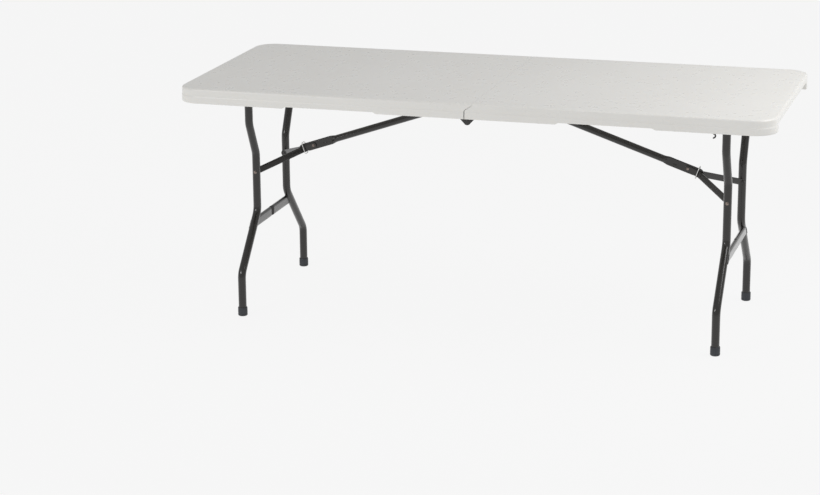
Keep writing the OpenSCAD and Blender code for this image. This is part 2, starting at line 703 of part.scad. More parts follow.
// one strap: parallel part, 45 degree arm, ear beside the leg
module strap(s) {
  h = strap_section[0];
  t = strap_section[1];
  y0 = strap_in;
  k = tan(22.5) * t;
  rise = strap_ear - y0;
  x1 = strap_straight;
  x2 = x1 + rise;
  along_strap() difference() {
    union() {
      rod_y(0, 0, h / 2, s > 0 ? y0 : -y0 - t, s > 0 ? y0 + t : -y0, round_fn);
      translate([0, 0, -h / 2]) linear_extrude(h) scale([1, s]) polygon([
        [0, y0], [x1, y0], [x2, y0 + rise], [strap_len, y0 + rise],
        [strap_len, y0 + rise + t], [x2 - k, y0 + rise + t], [x1 - k, y0 + t], [0, y0 + t]
      ]);
      rod_y(strap_len, 0, h / 2, s > 0 ? y0 + rise : -y0 - rise - t, s > 0 ? y0 + rise + t : -y0 - rise, round_fn);
      // formed head on the inner side of the ear
      rod_y(strap_len, 0, 5, s > 0 ? y0 + rise - 2 : -y0 - rise, s > 0 ? y0 + rise : -y0 - rise + 2);
    }
    rod_y(0, 0, pin_r, s > 0 ? y0 - 1 : -y0 - t - 1, s > 0 ? y0 + t + 1 : -y0 + 1);
  }
}

module brace_rivet() {
  y1 = strap_in + strap_section[1];
  along_tube() translate([tube_len, 0, 0]) {
    rod_y(0, 0, pin_r, -y1 - 0.5, y1 + 0.5);
    for (s = [-1, 1]) rod_y(0, 0, 5.5, s > 0 ? y1 : -y1 - 2, s > 0 ? y1 + 2 : -y1);
  }
}

// closed wire loop round the brace, its plane square to the tube
module lock_ring() {
  r = 7;
  a = ring_inside[0] + ring_wire;
  b = ring_inside[1] + ring_wire;
  along_tube() translate([tube_len + ring_offset, 0, 0]) {
    for (q = [-1, 1]) {
      translate([0, q * b, r - a]) cylinder(h = 2 * (a - r), r = ring_wire, $fn = 20);
      translate([0, r - b, q * a]) rotate([-90, 0, 0]) cylinder(h = 2 * (b - r), r = ring_wire, $fn = 20);
    }
    for (i = [0 : 3]) ring_corner(i, a, b, r);
  }
}

module ring_corner(i, a, b, r) {
  sy = (i == 0 || i == 3) ? 1 : -1;
  sz = i < 2 ? 1 : -1;
  translate([0, sy * (b - r), sz * (a - r)]) rotate([0, 90, 0]) rotate([0, 0, corner_turn(sy, sz)])
    rotate_extrude(angle = 90, $fn = 48) translate([r, 0]) circle(r = ring_wire, $fn = 20);
}

// start angle of a quarter ring lying in the YZ plane after rotate([0, 90, 0])
function corner_turn(sy, sz) = sy > 0 ? (sz > 0 ? 90 : 0) : (sz > 0 ? 180 : 270);

// ---------- nodes ----------
module rail_left_front() color(steel_colour) side_turn(true) rail(1);
module rail_left_back() color(steel_colour) side_turn(true) rail(-1);
module rail_right_front() color(steel_colour) rail(-1);
module rail_right_back() color(steel_colour) rail(1);
module rail_screws_left() color(zinc_colour) side_turn(true) rail_screws();
module rail_screws_right() color(zinc_colour) rail_screws();
module hinge_leaf_left_front() color(steel_colour) side_turn(true) hinge_leaf(1, leaf_left_y, hinge_pin_radius);
module hinge_leaf_left_back() color(steel_colour) side_turn(true) hinge_leaf(-1, leaf_left_y, hinge_pin_radius);
module hinge_leaf_right_front() color(steel_colour) hinge_leaf(-1, leaf_right_y, hinge_pin_radius + run_fit);
module hinge_leaf_right_back() color(steel_colour) hinge_leaf(1, leaf_right_y, hinge_pin_radius + run_fit);
module hinge_pin_front() color(steel_colour) hinge_pin(-1);
module hinge_pin_back() color(steel_colour) hinge_pin(1);
module axle_bracket_left_front() color(steel_colour) side_turn(true) axle_bracket(1);
module axle_bracket_left_back() color(steel_colour) side_turn(true) axle_bracket(-1);
module axle_bracket_right_front() color(steel_colour) axle_bracket(-1);
module axle_bracket_right_back() color(steel_colour) axle_bracket(1);
module axle_rivets_left() color(zinc_colour) side_turn(true) axle_rivets();
module axle_rivets_right() color(zinc_colour) axle_rivets();
module brace_bracket_left() color(steel_colour) side_turn(true) brace_bracket();
module brace_bracket_right() color(steel_colour) brace_bracket();
module brace_pin_left() color(steel_colour) side_turn(true) brace_pin();
module brace_pin_right() color(steel_colour) brace_pin();
module leg_axle_left() color(steel_colour) side_turn(true) leg_axle();
module leg_axle_right() color(steel_colour) leg_axle();
module leg_left_front() color(steel_colour) side_turn(true) leg(1);
module leg_left_back() color(steel_colour) side_turn(true) leg(-1);
module leg_right_front() color(steel_colour) leg(-1);
module leg_right_back() color(steel_colour) leg(1);
module crossbar_left() color(steel_colour) side_turn(true) crossbar();
module crossbar_right() color(steel_colour) crossbar();
module strap_rivets_left() color(zinc_colour) side_turn(true) strap_rivets();
module strap_rivets_right() color(zinc_colour) strap_rivets();
module foot_cap_left_front() color(cap_colour) side_turn(true) foot_cap(1);
module foot_cap_left_back() color(cap_colour) side_turn(true) foot_cap(-1);
module foot_cap_right_front() color(cap_colour) foot_cap(-1);
module foot_cap_right_back() color(cap_colour) foot_cap(1);
module brace_tube_left() color(steel_colour) side_turn(true) brace_tube();
module brace_tube_right() color(steel_colour) brace_tube();
module strap_left_front() color(steel_colour) side_turn(true) strap(1);
module strap_left_back() color(steel_colour) side_turn(true) strap(-1);
module strap_right_front() color(steel_colour) strap(-1);
module strap_right_back() color(steel_colour) strap(1);
module brace_rivet_left() color(zinc_colour) side_turn(true) brace_rivet();
module brace_rivet_right() color(zinc_colour) brace_rivet();
module lock_ring_left() color(zinc_colour) side_turn(true) lock_ring();
module lock_ring_right() color(zinc_colour) lock_ring();

table_top_left();
table_top_right();
rail_left_front();
rail_left_back();
rail_right_front();
rail_right_back();
rail_screws_left();
rail_screws_right();
hinge_leaf_left_front();
hinge_leaf_left_back();
hinge_leaf_right_front();
hinge_leaf_right_back();
hinge_pin_front();
hinge_pin_back();
axle_bracket_left_front();
axle_bracket_left_back();
axle_bracket_right_front();
axle_bracket_right_back();
axle_rivets_left();
axle_rivets_right();
brace_bracket_left();
brace_bracket_right();
brace_pin_left();
brace_pin_right();
leg_axle_left();
leg_axle_right();
leg_left_front();
leg_left_back();
leg_right_front();
leg_right_back();
crossbar_left();
crossbar_right();
strap_rivets_left();
strap_rivets_right();
foot_cap_left_front();
foot_cap_left_back();
foot_cap_right_front();
foot_cap_right_back();
brace_tube_left();
brace_tube_right();
strap_left_front();
strap_left_back();
strap_right_front();
strap_right_back();
brace_rivet_left();
brace_rivet_right();
lock_ring_left();
lock_ring_right();
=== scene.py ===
import math
import bmesh
import bpy
import numpy as np
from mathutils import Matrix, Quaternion, Vector


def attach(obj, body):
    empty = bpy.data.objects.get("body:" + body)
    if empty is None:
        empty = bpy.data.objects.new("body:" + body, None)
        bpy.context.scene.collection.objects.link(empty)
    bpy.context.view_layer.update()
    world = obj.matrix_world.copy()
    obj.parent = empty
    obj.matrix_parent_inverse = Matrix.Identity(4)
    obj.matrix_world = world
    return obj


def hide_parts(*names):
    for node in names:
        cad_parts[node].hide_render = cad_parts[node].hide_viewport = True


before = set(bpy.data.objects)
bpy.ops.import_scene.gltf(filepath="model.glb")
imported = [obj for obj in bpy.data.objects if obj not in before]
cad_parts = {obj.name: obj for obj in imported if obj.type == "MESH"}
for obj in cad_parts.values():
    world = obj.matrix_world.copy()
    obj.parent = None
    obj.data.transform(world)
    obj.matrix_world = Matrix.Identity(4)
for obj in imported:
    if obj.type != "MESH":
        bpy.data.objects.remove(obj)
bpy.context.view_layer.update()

MM = 0.001
rng = np.random.default_rng(7)

# ---------------------------------------------------------------- sizes, in millimetres, as in the CAD
HALF_L, HALF_W, TOP, FLOOR = 915.0, 380.0, 740.0, 711.0
CORNER, RIM, RIM_SHALLOW, RIM_END = 67.0, 694.0, 699.0, 714.8
HAND_HOLD = 295.0  # half the width of the thin part of the end edge
RIM_SPAN = (273.0, 572.0)  # where the long rims are shallow
AXLE_X, AXLE_Z, AXLE_R, AXLE_WALL = 749.0, 701.0, 10.0, 1.5
LEG_R, LEG_BEND = 12.5, 45.0
# bends of a leg: distance from the table's middle, distance below the axle
LEG_PATH = [(191.0, 0.0), (191.0, 105.0), (137.0, 212.0), (137.0, 398.0), (290.0, 565.0), (290.0, 697.0)]
LEG_NARROW, LEG_WIDE = 137.0, 290.0
BAR_DROP, BAR_H, BAR_W, BAR_OFF = 436.0, 32.0, 14.0, 6.0
BAR_SLOPE = (LEG_WIDE - LEG_NARROW) / (565.0 - 398.0)
BAR_REACH = LEG_NARROW + (BAR_DROP - 398.0) * BAR_SLOPE
SADDLE_X, SADDLE_R = -2.852, 12.2  # hollow in the cross bar for the folded brace tube
PIVOT, JOINT = (16.0, 694.0), (603.2396, 493.1852)  # (x, z) of the brace tube's two ends
TUBE_LEN, STRAP_LEN = 620.6262, 158.8662  # between the pivots
TUBE_ANGLE, STRAP_ANGLE = math.radians(18.87884), math.radians(23.43608)  # slope, table open
FOLDED_JOINT_X, FOLDED_RIVET_X = 636.285, 478.0  # where the straps' two pivots lie, leg folded
TUBE_R, FLAT_T, EYE_R = 11.0, 5.0, 11.0
STRAP_T, STRAP_R, STRAP_GAP, EAR_GAP = 3.0, 10.0, 0.4, 0.5
RIVET_Z = 430.0
RAIL_Y, RAIL_OUT, RAIL_IN, FLANGE_IN = 335.0, 347.0, 323.0, 309.0
RAIL_LOW, RAIL_TOP, RAIL_WALL, RAIL_LIP = 692.5, 714.0, 1.8, 3.2
RAIL_X0, RAIL_X1, HINGE_CUT, AXLE_CUT = 6.0, 812.0, 78.0, 34.0
BEARING_LOW, PLATE_T = 687.0, 3.0
HINGE_Z, KNUCKLE_R, PIN_R = 681.0, 12.0, 4.0
LEAF_Y = {1: 338.8, -1: 342.1}  # inner face of the hinge leaves on the right and the left half
SHANK_R = 3.0  # of every rivet
SCREW_X = (96.0, 238.0, 380.0, 522.0, 664.0, 800.0)


# ---------------------------------------------------------------- mesh helpers
def linked(name, data):
    """New object in the scene."""
    ob = bpy.data.objects.new(name, data)
    bpy.context.scene.collection.objects.link(ob)
    return ob


def piece(name, part, body, slot, replaced, side=1, smooth=0.7, width=0.0):
    """Makes a piece from points in millimetres of the right half; side -1 turns it half a turn about Z.

    Edges steeper than smooth (in radians) stay sharp; width bevels them.
    """
    verts, faces = part
    v = np.asarray(verts, float) * MM * np.array([side, side, 1.0])
    me = bpy.data.meshes.new(name)
    me.from_pydata([tuple(p) for p in v], [], [tuple(int(i) for i in f) for f in faces])
    me.validate()
    bm = bmesh.new()
    bm.from_mesh(me)
    bmesh.ops.remove_doubles(bm, verts=bm.verts, dist=1e-6)
    bmesh.ops.recalc_face_normals(bm, faces=bm.faces)
    bm.to_mesh(me)
    bm.free()
    for p in me.polygons:
        p.use_smooth = True
    ob = linked(name, me)
    me.materials.append(MATERIALS[slot])
    mark_sharp(ob, smooth)
    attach(ob, body)
    if width:
        m = ob.modifiers.new("bevel", "BEVEL")
        m.width, m.segments = width * MM, 2
        m.limit_method, m.angle_limit = "ANGLE", 0.6
        m.harden_normals = True
    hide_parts(replaced)
    return ob


def mark_sharp(ob, angle, above=-math.inf):
    """Marks edges steeper than the angle, and above that height in metres, so that flat faces stay flat."""
    bm = bmesh.new()
    bm.from_mesh(ob.data)
    for e in bm.edges:
        if len(e.link_faces) == 2 and e.calc_face_angle(0.0) > angle and min(v.co.z for v in e.verts) > above:
            e.smooth = False
    bm.to_mesh(ob.data)
    bm.free()


def unit(v):
    """Vectors scaled to length one."""
    return v / np.linalg.norm(v, axis=-1, keepdims=True)


def circle(a, b, segs):
    """Points of the circle through the tips of a and b."""
    th = np.linspace(0, 2 * math.pi, segs, endpoint=False)
    return np.cos(th)[:, None] * a + np.sin(th)[:, None] * b


def arc(x, z, r, angles):
    """Points (x, z) of an arc about a centre."""
    return [(x + r * math.cos(t), z + r * math.sin(t)) for t in angles]


def loft(rings, closed=False):
    """Quads between rings of equal length; the ends are capped unless the last ring joins the first."""
    n = len(rings[0])
    verts = np.concatenate(rings)
    faces = []
    last = len(rings) if closed else len(rings) - 1
    for i in range(last):
        a, b = i * n, ((i + 1) % len(rings)) * n
        for k in range(n):
            q = (k + 1) % n
            faces.append((a + k, a + q, b + q, b + k))
    if not closed:
        faces.append(tuple(range(n))[::-1])
        faces.append(tuple(range((len(rings) - 1) * n, len(rings) * n)))
    return verts, faces


def join(parts):
    """Several (verts, faces) as one."""
    vs, fs, base = [], [], 0
    for v, f in parts:
        vs.append(np.asarray(v, float))
        fs += [tuple(i + base for i in q) for q in f]
        base += len(v)
    return np.concatenate(vs), fs


def rounded_path(points, radius, step):
    """Points along straight runs and arcs of the given radius; step is the spacing along the arcs."""
    p = [np.asarray(q, float) for q in points]
    out = [p[0]]
    for i in range(1, len(p) - 1):
        u, w = unit(p[i] - p[i - 1]), unit(p[i + 1] - p[i])
        turn = math.acos(max(-1, min(1, float(u @ w))))
        if turn < 1e-3:
            out.append(p[i])
            continue
        cut = radius * math.tan(turn / 2)
        side = unit(w - u * float(u @ w))
        centre = p[i] - u * cut + side * radius
        n = max(4, int(radius * turn / step) + 1)
        for k in range(n + 1):
            a = turn * k / n
            out.append(centre - side * radius * math.cos(a) + u * radius * math.sin(a))
    out.append(p[-1])
    return np.array(out)


def densify(line, step, closed=False):
    """Splits the runs between points so that none is much longer than step."""
    line = np.asarray(line, float)
    out = [] if closed else [line[0]]
    for p, q in zip(line, np.roll(line, -1, axis=0) if closed else line[1:]):
        k = max(1, int(np.linalg.norm(q - p) / step))
        out += [p + (q - p) * j / k for j in (range(k) if closed else range(1, k + 1))]
    return np.array(out)


def tube_rings(path, radius, segs):
    """Round rings square to the path, each starting on its +X side."""
    out = []
    for c, t in zip(path, unit(np.gradient(path, axis=0))):
        a = unit(np.array([1.0, 0.0, 0.0]) - t * t[0])
        out.append(c + radius * circle(a, np.cross(t, a), segs))
    return out


def lathe(profile, origin, axis, segs, closed=False):
    """Turns (radius, height) points about an axis through the origin."""
    axis = unit(np.asarray(axis, float))
    ref = np.array([0.0, 0.0, 1.0]) if abs(axis[2]) < 0.9 else np.array([1.0, 0.0, 0.0])
    a = unit(np.cross(axis, ref))
    ring = circle(a, np.cross(axis, a), segs)
    return loft([np.asarray(origin, float) + ring * max(r, 0.02) + axis * h for r, h in profile], closed)


def arc_profile(r0, h0, r1, h1, n=5):
    """Quarter of an ellipse between two (radius, height) points."""
    quarter = [math.pi / 2 * k / n for k in range(n + 1)]
    return [(r1 + (r0 - r1) * math.cos(a), h0 + (h1 - h0) * math.sin(a)) for a in quarter]


def dome(r, h):
    """Profile of a rivet head of radius r and height h."""
    return [(r, 0.0), (r, 0.25 * h)] + arc_profile(r, 0.25 * h, 0.02, h, 6)[1:]


def plate(outline, y0, y1):
    """Plate in the XZ plane between y0 and y1 from a closed outline of (x, z) points."""
    o = np.asarray(outline, float)
    return loft([np.column_stack([o[:, 0], np.full(len(o), y), o[:, 1]]) for y in (y0, y1)])


def slab(outline, s, z0, z1):
    """Plate in the XY plane between z0 and z1, its Y turned over where s is -1."""
    o = np.asarray(outline, float)
    return loft([np.column_stack([o[:, 0], s * o[:, 1], np.full(len(o), z)]) for z in (z0, z1)])


def round_outline(points, radius):
    """Closed outline with every corner rounded."""
    p = [np.asarray(q, float) for q in points]
    n = len(p)
    out = []
    for i in range(n):
        a, b, c = p[i - 1], p[i], p[(i + 1) % n]
        r = radius[i] if hasattr(radius, "__len__") else radius
        u, w = unit(b - a), unit(c - b)
        turn = math.acos(max(-1, min(1, float(u @ w))))
        if turn < 0.05 or r <= 0:
            out.append(b)
            continue
        cut = min(r * math.tan(turn / 2), 0.45 * np.linalg.norm(b - a), 0.45 * np.linalg.norm(c - b))
        rr = cut / math.tan(turn / 2)
        side = unit(w - u * float(u @ w))
        centre = b - u * cut + side * rr
        m = max(2, int(turn / 0.3))
        for k in range(m + 1):
            t = turn * k / m
            out.append(centre - side * rr * math.cos(t) + u * rr * math.sin(t))
    return np.array(out)


# ---------------------------------------------------------------- materials
MATERIALS = {}


def node(nt, kind, **values):
    """New shader node with constant inputs; an underscore stands for a space."""
    n = nt.nodes.new("ShaderNode" + kind)
    for key, value in values.items():
        n.inputs[key.replace("_", " ")].default_value = value
    return n


def on_object(nt, texture):
    nt.links.new(nt.nodes.new("ShaderNodeTexCoord").outputs["Object"], texture.inputs["Vector"])
    return texture


def noise(nt, scale, detail, rough=0.5):
    return on_object(nt, node(nt, "TexNoise", Scale=scale, Detail=detail, Roughness=rough)).outputs["Fac"]


def cells(nt, scale):
    """Leathery cells: the distance to the nearest cell wall."""
    n = on_object(nt, node(nt, "TexVoronoi", Scale=scale))
    n.feature = "DISTANCE_TO_EDGE"
    return n.outputs["Distance"]


def ramp(nt, src, stops):
    """Colour ramp through (position, (red, green, blue)) stops."""
    r = nt.nodes.new("ShaderNodeValToRGB")
    el = r.color_ramp.elements
    for e, (pos, col) in zip((el[0], el[1]), (stops[0], stops[-1])):
        e.position, e.color = pos, (*col, 1)
    for pos, col in stops[1:-1]:
        el.new(pos).color = (*col, 1)
    nt.links.new(src, r.inputs["Fac"])
    return r.outputs["Color"]


def speckled(nt, colour, source, factor, stops):
    """Multiplies a colour by a fine noise."""
    mix = nt.nodes.new("ShaderNodeMix")
    mix.data_type, mix.blend_type = "RGBA", "MULTIPLY"
    mix.inputs["Factor"].default_value = factor
    nt.links.new(colour, mix.inputs["A"])
    nt.links.new(ramp(nt, noise(nt, *source), stops), mix.inputs["B"])
    return mix.outputs["Result"]


def material(name, tint, stops, rough=None, reach=None, bumps=(), speckle=None, **constants):
    """Principled material.

    tint and rough are noise settings, stops the colours and reach the roughness that they run between.
    bumps are (texture, its settings, strength, distance in metres), each laid over the one before.
    """
    m = MATERIALS[name] = bpy.data.materials.new(name)
    m.use_nodes = True
    nt = m.node_tree
    bsdf = nt.nodes["Principled BSDF"]
    for key, value in constants.items():
        bsdf.inputs[key.replace("_", " ")].default_value = value
    colour = ramp(nt, noise(nt, *tint), stops)
    if speckle:
        colour = speckled(nt, colour, *speckle)
    nt.links.new(colour, bsdf.inputs["Base Color"])
    if rough:
        span = node(nt, "MapRange", From_Min=0.3, From_Max=0.7, To_Min=reach[0], To_Max=reach[1])
        nt.links.new(noise(nt, *rough), span.inputs["Value"])
        nt.links.new(span.outputs["Result"], bsdf.inputs["Roughness"])
    below = None
    for texture, settings, strength, distance in bumps:
        b = node(nt, "Bump", Strength=strength, Distance=distance)
        nt.links.new(texture(nt, *settings), b.inputs["Height"])
        if below is not None:
            nt.links.new(below, b.inputs["Normal"])
        below = b.outputs["Normal"]
    if below is not None:
        nt.links.new(below, bsdf.inputs["Normal"])
    return m


material("board_plastic", (2.3, 4.0, 0.6),
         [(0.3, (0.700, 0.690, 0.662)), (0.5, (0.716, 0.707, 0.680)), (0.72, (0.730, 0.722, 0.697))],
         (30.0, 5.0, 0.65), (0.25, 0.36),
         [(noise, (6.0, 2.0), 0.15, 0.0012), (cells, (620.0,), 0.07, 0.0004), (noise, (1500.0, 2.0), 0.04, 0.0002)],
         ((900.0, 2.0, 0.6), 0.04, [(0.35, (0.80, 0.79, 0.76)), (0.65, (1, 1, 1))]),
         Specular_IOR_Level=0.42, Subsurface_Weight=0.06, Subsurface_Radius=(0.006, 0.005, 0.004))
material("coated_steel", (14.0, 4.0, 0.6),
         [(0.3, (0.0095, 0.0084, 0.0072)), (0.6, (0.012, 0.0106, 0.0092)), (0.8, (0.017, 0.0150, 0.0130))],
         (60.0, 4.0, 0.6), (0.20, 0.32),
         [(noise, (300.0, 2.0), 0.035, 0.00025), (noise, (1500.0, 1.0), 0.012, 0.0001)],
         Specular_IOR_Level=0.22, Coat_Weight=0.8, Coat_Roughness=0.12)
material("zinc_plated", (160.0, 4.0, 0.65),
         [(0.3, (0.15, 0.12, 0.105)), (0.55, (0.27, 0.225, 0.20)), (0.8, (0.46, 0.42, 0.39))],
         (700.0, 3.0, 0.6), (0.26, 0.5), [(noise, (1200.0, 3.0, 0.6), 0.25, 0.0002)], Metallic=1.0)
material("ring_wire", (300.0, 3.0, 0.6), [(0.3, (0.55, 0.55, 0.54)), (0.7, (0.78, 0.78, 0.76))],
         (900.0, 3.0, 0.6), (0.18, 0.34), [(noise, (1500.0, 2.0), 0.15, 0.0001)], Metallic=1.0)
material("cap_plastic", (40.0, 4.0, 0.6), [(0.3, (0.018, 0.021, 0.026)), (0.7, (0.029, 0.033, 0.040))],
         (500.0, 3.0, 0.6), (0.42, 0.6), [(noise, (1400.0, 2.0), 0.25, 0.0002)])


# ---------------------------------------------------------------- board halves
def smooth_step(t):
    """Eases from 0 to 1."""
    t = np.clip(t, 0.0, 1.0)
    return t * t * (3 - 2 * t)


RING_IN = 28.0  # width of the rim, between the underside's grid and the outline
YM, XM, RI = HALF_W - RING_IN, HALF_L - RING_IN, CORNER - RING_IN
PITCH_X, PITCH_Y, LAST_COLUMN = 38.0, 60.0, 864.0  # rows of dimples
DIMPLE_A, DIMPLE_B, DIMPLE_DEEP, DIMPLE_BULGE = 16.5, 8.6, 14.5, 1.6
GRID_X, GRID_Y, STRETCH_X = PITCH_X / 12, 2.5, 600.0  # beyond STRETCH_X the grid follows the round corners
SEAM_X, SHEAR_REACH, CUT_BACK, LAP_OVER = 1.5, 120.0, 20.45, 22.95
LEVELS = [713.6, 714.4, 715.2, 715.9, 716.4, 719.5, 722.5, 725.5, 728.5, 731.0, 733.0, 735.0, 736.8, 738.2,
          739.2, 739.8, TOP]  # heights of the outline above the parting line
PARTING = ((713.6, 714.4, 715.2, 715.9, 716.4), (0.0, 0.2, 0.52, 0.88, 1.1))  # heights of the ledge, its depth
EDGE_R, EDGE_IN = 6.1, 1.1
THIN_EDGE = [(27.2, 711.3), (26.0, 712.2), (24.6, 713.3), (23.2, 714.1), (21.0, 714.5), (14.0, 714.7), (8.0, 714.8),
             (5.6, 714.9), (4.0, 715.1), (2.9, 715.5), (2.1, 716.0), (1.5, 716.7), (1.2, 717.2), (1.13, 717.6),
             (1.1, 718.0), (1.1, 718.4), (1.1, 718.9)]  # lower part of the end edge: distance inwards, height


def rim_low(x, y):
    """Height of the rim's lower edge at a point of the outline, and how far it is the thin end edge there."""
    along = smooth_step((x - RIM_SPAN[0]) / 12.0) * smooth_step((RIM_SPAN[1] - x) / 12.0)
    side = RIM + (RIM_SHALLOW - RIM) * along
    if x <= HALF_L - 2:
        return side, 0.0
    t = float(smooth_step((HAND_HOLD + 5.0 - abs(y)) / 11.0))
    return RIM + (RIM_END - RIM) * t, t


def seg_distance(x, y, a, b):
    """Distance to the line from a to b."""
    dx, dy = b[0] - a[0], b[1] - a[1]
    t = np.clip(((x - a[0]) * dx + (y - a[1]) * dy) / (dx * dx + dy * dy), 0, 1)
    return np.hypot(x - a[0] - t * dx, y - a[1] - t * dy)


def box_distance(x, y, x0, x1, y0, y1, r=3.0):
    """Signed distance to a box with rounded corners."""
    cx, cy = (x0 + x1) / 2, (y0 + y1) / 2
    qx = np.abs(x - cx) - (x1 - x0) / 2 + r
    qy = np.abs(y - cy) - (y1 - y0) / 2 + r
    return np.hypot(np.maximum(qx, 0), np.maximum(qy, 0)) + np.minimum(np.maximum(qx, qy), 0) - r


LEG_LINE = [(AXLE_X - d, s) for s, d in LEG_PATH[:-1]] + [(AXLE_X - 703.0, LEG_WIDE)]  # the folded leg


def leg_distance(x, y):
    """Distance to the middle line of the folded legs."""
    ay = np.abs(y)
    return np.minimum.reduce([seg_distance(x, ay, LEG_LINE[i], LEG_LINE[i + 1]) for i in range(5)])


STRAP_X = FOLDED_JOINT_X - 38.0 + 16.0


def strap_distance(x, y):
    """Signed distance to the grooves that take the folded straps."""
    ay = np.abs(y)
    run = 108.0
    return np.minimum(seg_distance(x, ay, (STRAP_X, 0.0), (STRAP_X - run, run)) - 15.0,
                      box_distance(x, ay, FOLDED_RIVET_X - 16.0, FOLDED_RIVET_X + 20.0, 104.0, 130.0, 4.0))


def scoop_distance(x, y, cx, cy, r):
    """Half-round hollow that opens outwards, towards the rail."""
    return np.minimum(np.hypot(x - cx, np.abs(y) - cy) - r,
                      box_distance(x, np.abs(y), cx - r, cx + r, cy, 320.0, 2.0))


# name, signed distance, depth above the field, wall width
POCKETS = [
    ("rail", lambda x, y: box_distance(x, np.abs(y), -20.0, 815.0, 307.0, 349.0, 2.0), 3.2, 2.0),
    ("leg", lambda x, y: leg_distance(x, y) - 16.5, 6.5, 4.0),
    ("axle", lambda x, y: box_distance(x, y, 730.0, 768.0, -309.0, 309.0), 7.0, 3.5),
    ("strap", strap_distance, 12.5, 5.0),
    ("recess_a", lambda x, y: box_distance(x, y, 150.0, 697.0, -19.0, 19.0, 8.0), 10.0, 2.6),
    ("recess_b", lambda x, y: box_distance(x, y, 425.0, 697.0, -18.9, 18.9, 8.0), 21.0, 3.0),
    ("scoop_a", lambda x, y: scoop_distance(x, y, 703.0, 262.0, 27.0), 7.0, 5.0),
    ("scoop_b", lambda x, y: scoop_distance(x, y, 787.0, 262.0, 27.0), 7.0, 5.0),
    ("scoop_c", lambda x, y: scoop_distance(x, y, 434.0, 258.0, 23.0), 7.0, 5.0),
    ("hole_a", lambda x, y: np.hypot(x - 855.0, np.abs(y) - 285.0) - 6.2, 8.0, 2.0),
    ("hole_b", lambda x, y: np.hypot(x - 855.0, np.abs(y) - 342.0) - 6.2, 8.0, 2.0),
]
RIDGES = [
    ("seam_rib", lambda x, y: box_distance(x, np.abs(y), -20.0, 18.5, 22.0, 303.0), 9.6, 3.0),
    ("corner_pad", lambda x, y: box_distance(x, np.abs(y), 832.0, 874.0, 262.0, 365.0, 12.0), 3.0, 3.0),
    ("corner_arc", lambda x, y: np.abs(np.hypot(x - 842.0, np.abs(y) - 318.0) - 34.0) - 3.0, 3.5, 2.5),
]


def dimple_clear(cx, cy):
    """Whether a dimple fits between the pockets, the scoops and the seam."""
    if cx < 40 and abs(cy) > 10:
        return False
    if abs(cy) > 236.0 and any(abs(cx - mid) < r for mid, r in ((703.0, 38.0), (787.0, 38.0), (434.0, 34.0))):
        return False
    a, b = np.array([cx]), np.array([cy])
    clear = (leg_distance(a, b)[0] - 20.0, box_distance(a, b, 150.0, 697.0, -19.0, 19.0)[0] + 4.0,
             strap_distance(a, b)[0] + 2.0)
    return min(clear) > 6.0


def dimple_centres():
    """Centres of the staggered rows, counted from the end of the table."""
    out = []
    for k in range(int((LAST_COLUMN - 30.0) / PITCH_X) + 1):
        x = LAST_COLUMN - PITCH_X * k
        for j in range(-6, 7):
            y = PITCH_Y / 2 * (k % 2) + PITCH_Y * j
            if abs(y) < (300.0 if x < 822 else 258.0) and dimple_clear(x, y):
                out.append((x, y))
    return np.array(out)


DIMPLES = dimple_centres()


def dimple_rho(x, y):
    """Elliptic distance to the nearest dimple, and its centre."""
    best, cx, cy = np.full(x.shape, 99.0), np.zeros(x.shape), np.zeros(x.shape)
    for mx, my in DIMPLES:
        rho = np.hypot((x - mx) / DIMPLE_A, (y - my) / DIMPLE_B)
        hit = rho < np.minimum(best, 2.0)
        best[hit], cx[hit], cy[hit] = rho[hit], mx, my
    return best, cx, cy


def field_height(x, y):
    """Height of the moulded underside: pockets and dimples go up from the field, ridges and lugs down."""
    z = np.zeros(x.shape)
    for _, f, deep, wall in POCKETS:
        z = np.maximum(z, deep * np.clip(-f(x, y) / wall, 0, 1))
    rho, _, _ = dimple_rho(x, y)
    t = np.clip((1.0 - rho) / 0.45, 0, 1)
    lens = np.clip(1 - (rho / 0.5) ** 2, 0, 1)
    z = np.maximum(z, DIMPLE_DEEP * t - DIMPLE_BULGE * lens)
    low = np.zeros(x.shape)
    for _, f, high, wall in RIDGES:
        low = np.maximum(low, high * np.clip(-f(x, y) / wall, 0, 1))
    off, lug_r = np.abs(y) - RAIL_Y, 9.0  # round lug beyond the rail's end
    lug = np.where((x > 813) & (x < 866) & (np.abs(off) < lug_r),
                   6.0 + np.sqrt(np.maximum(0, lug_r ** 2 - off ** 2)), 0.0)
    low = np.maximum(low, lug)
    return FLOOR + np.where(low > 0.01, -low, z)


def snapped_grid(x, y):
    """Moves grid points onto the edges of dimples and pockets, so that walls run clean."""
    free = np.ones(x.shape, bool)
    free[0, :] = free[-1, :] = False
    free[:, 0] = free[:, -1] = False
    rho, cx, cy = dimple_rho(x, y)
    for level, tol in ((1.0, 0.16), (0.55, 0.16)):
        hit = free & (np.abs(rho - level) < tol)
        k = level / np.maximum(rho, 1e-6)
        x[hit] = (cx + (x - cx) * k)[hit]
        y[hit] = (cy + (y - cy) * k)[hit]
        free &= ~hit
    free &= rho > 1.2
    h = 0.4  # step of the slope estimate
    for _, f, _, wall in POCKETS + RIDGES:
        for level in (0.0, -wall):
            d = f(x, y) - level
            hit = free & (np.abs(d) < 1.3)
            gx = (f(x + h, y) - f(x - h, y)) / (2 * h)
            gy = (f(x, y + h) - f(x, y - h)) / (2 * h)
            g = np.maximum(np.hypot(gx, gy), 0.5)
            x[hit] -= (d * gx / g)[hit]
            y[hit] -= (d * gy / g)[hit]
            free &= ~hit
    return x, y


def seam_shift(z, side):
    """How far the seam face lies from its foot at height z: cut back on the right half, lapping on the left."""
    s = smooth_step((z - 718.0) / 19.0)
    edge = 0.3 * np.clip((z - (TOP - 0.8)) / 0.8, 0, 1) ** 2  # the top edge is slightly rounded
    return (CUT_BACK if side > 0 else -LAP_OVER) * s + edge


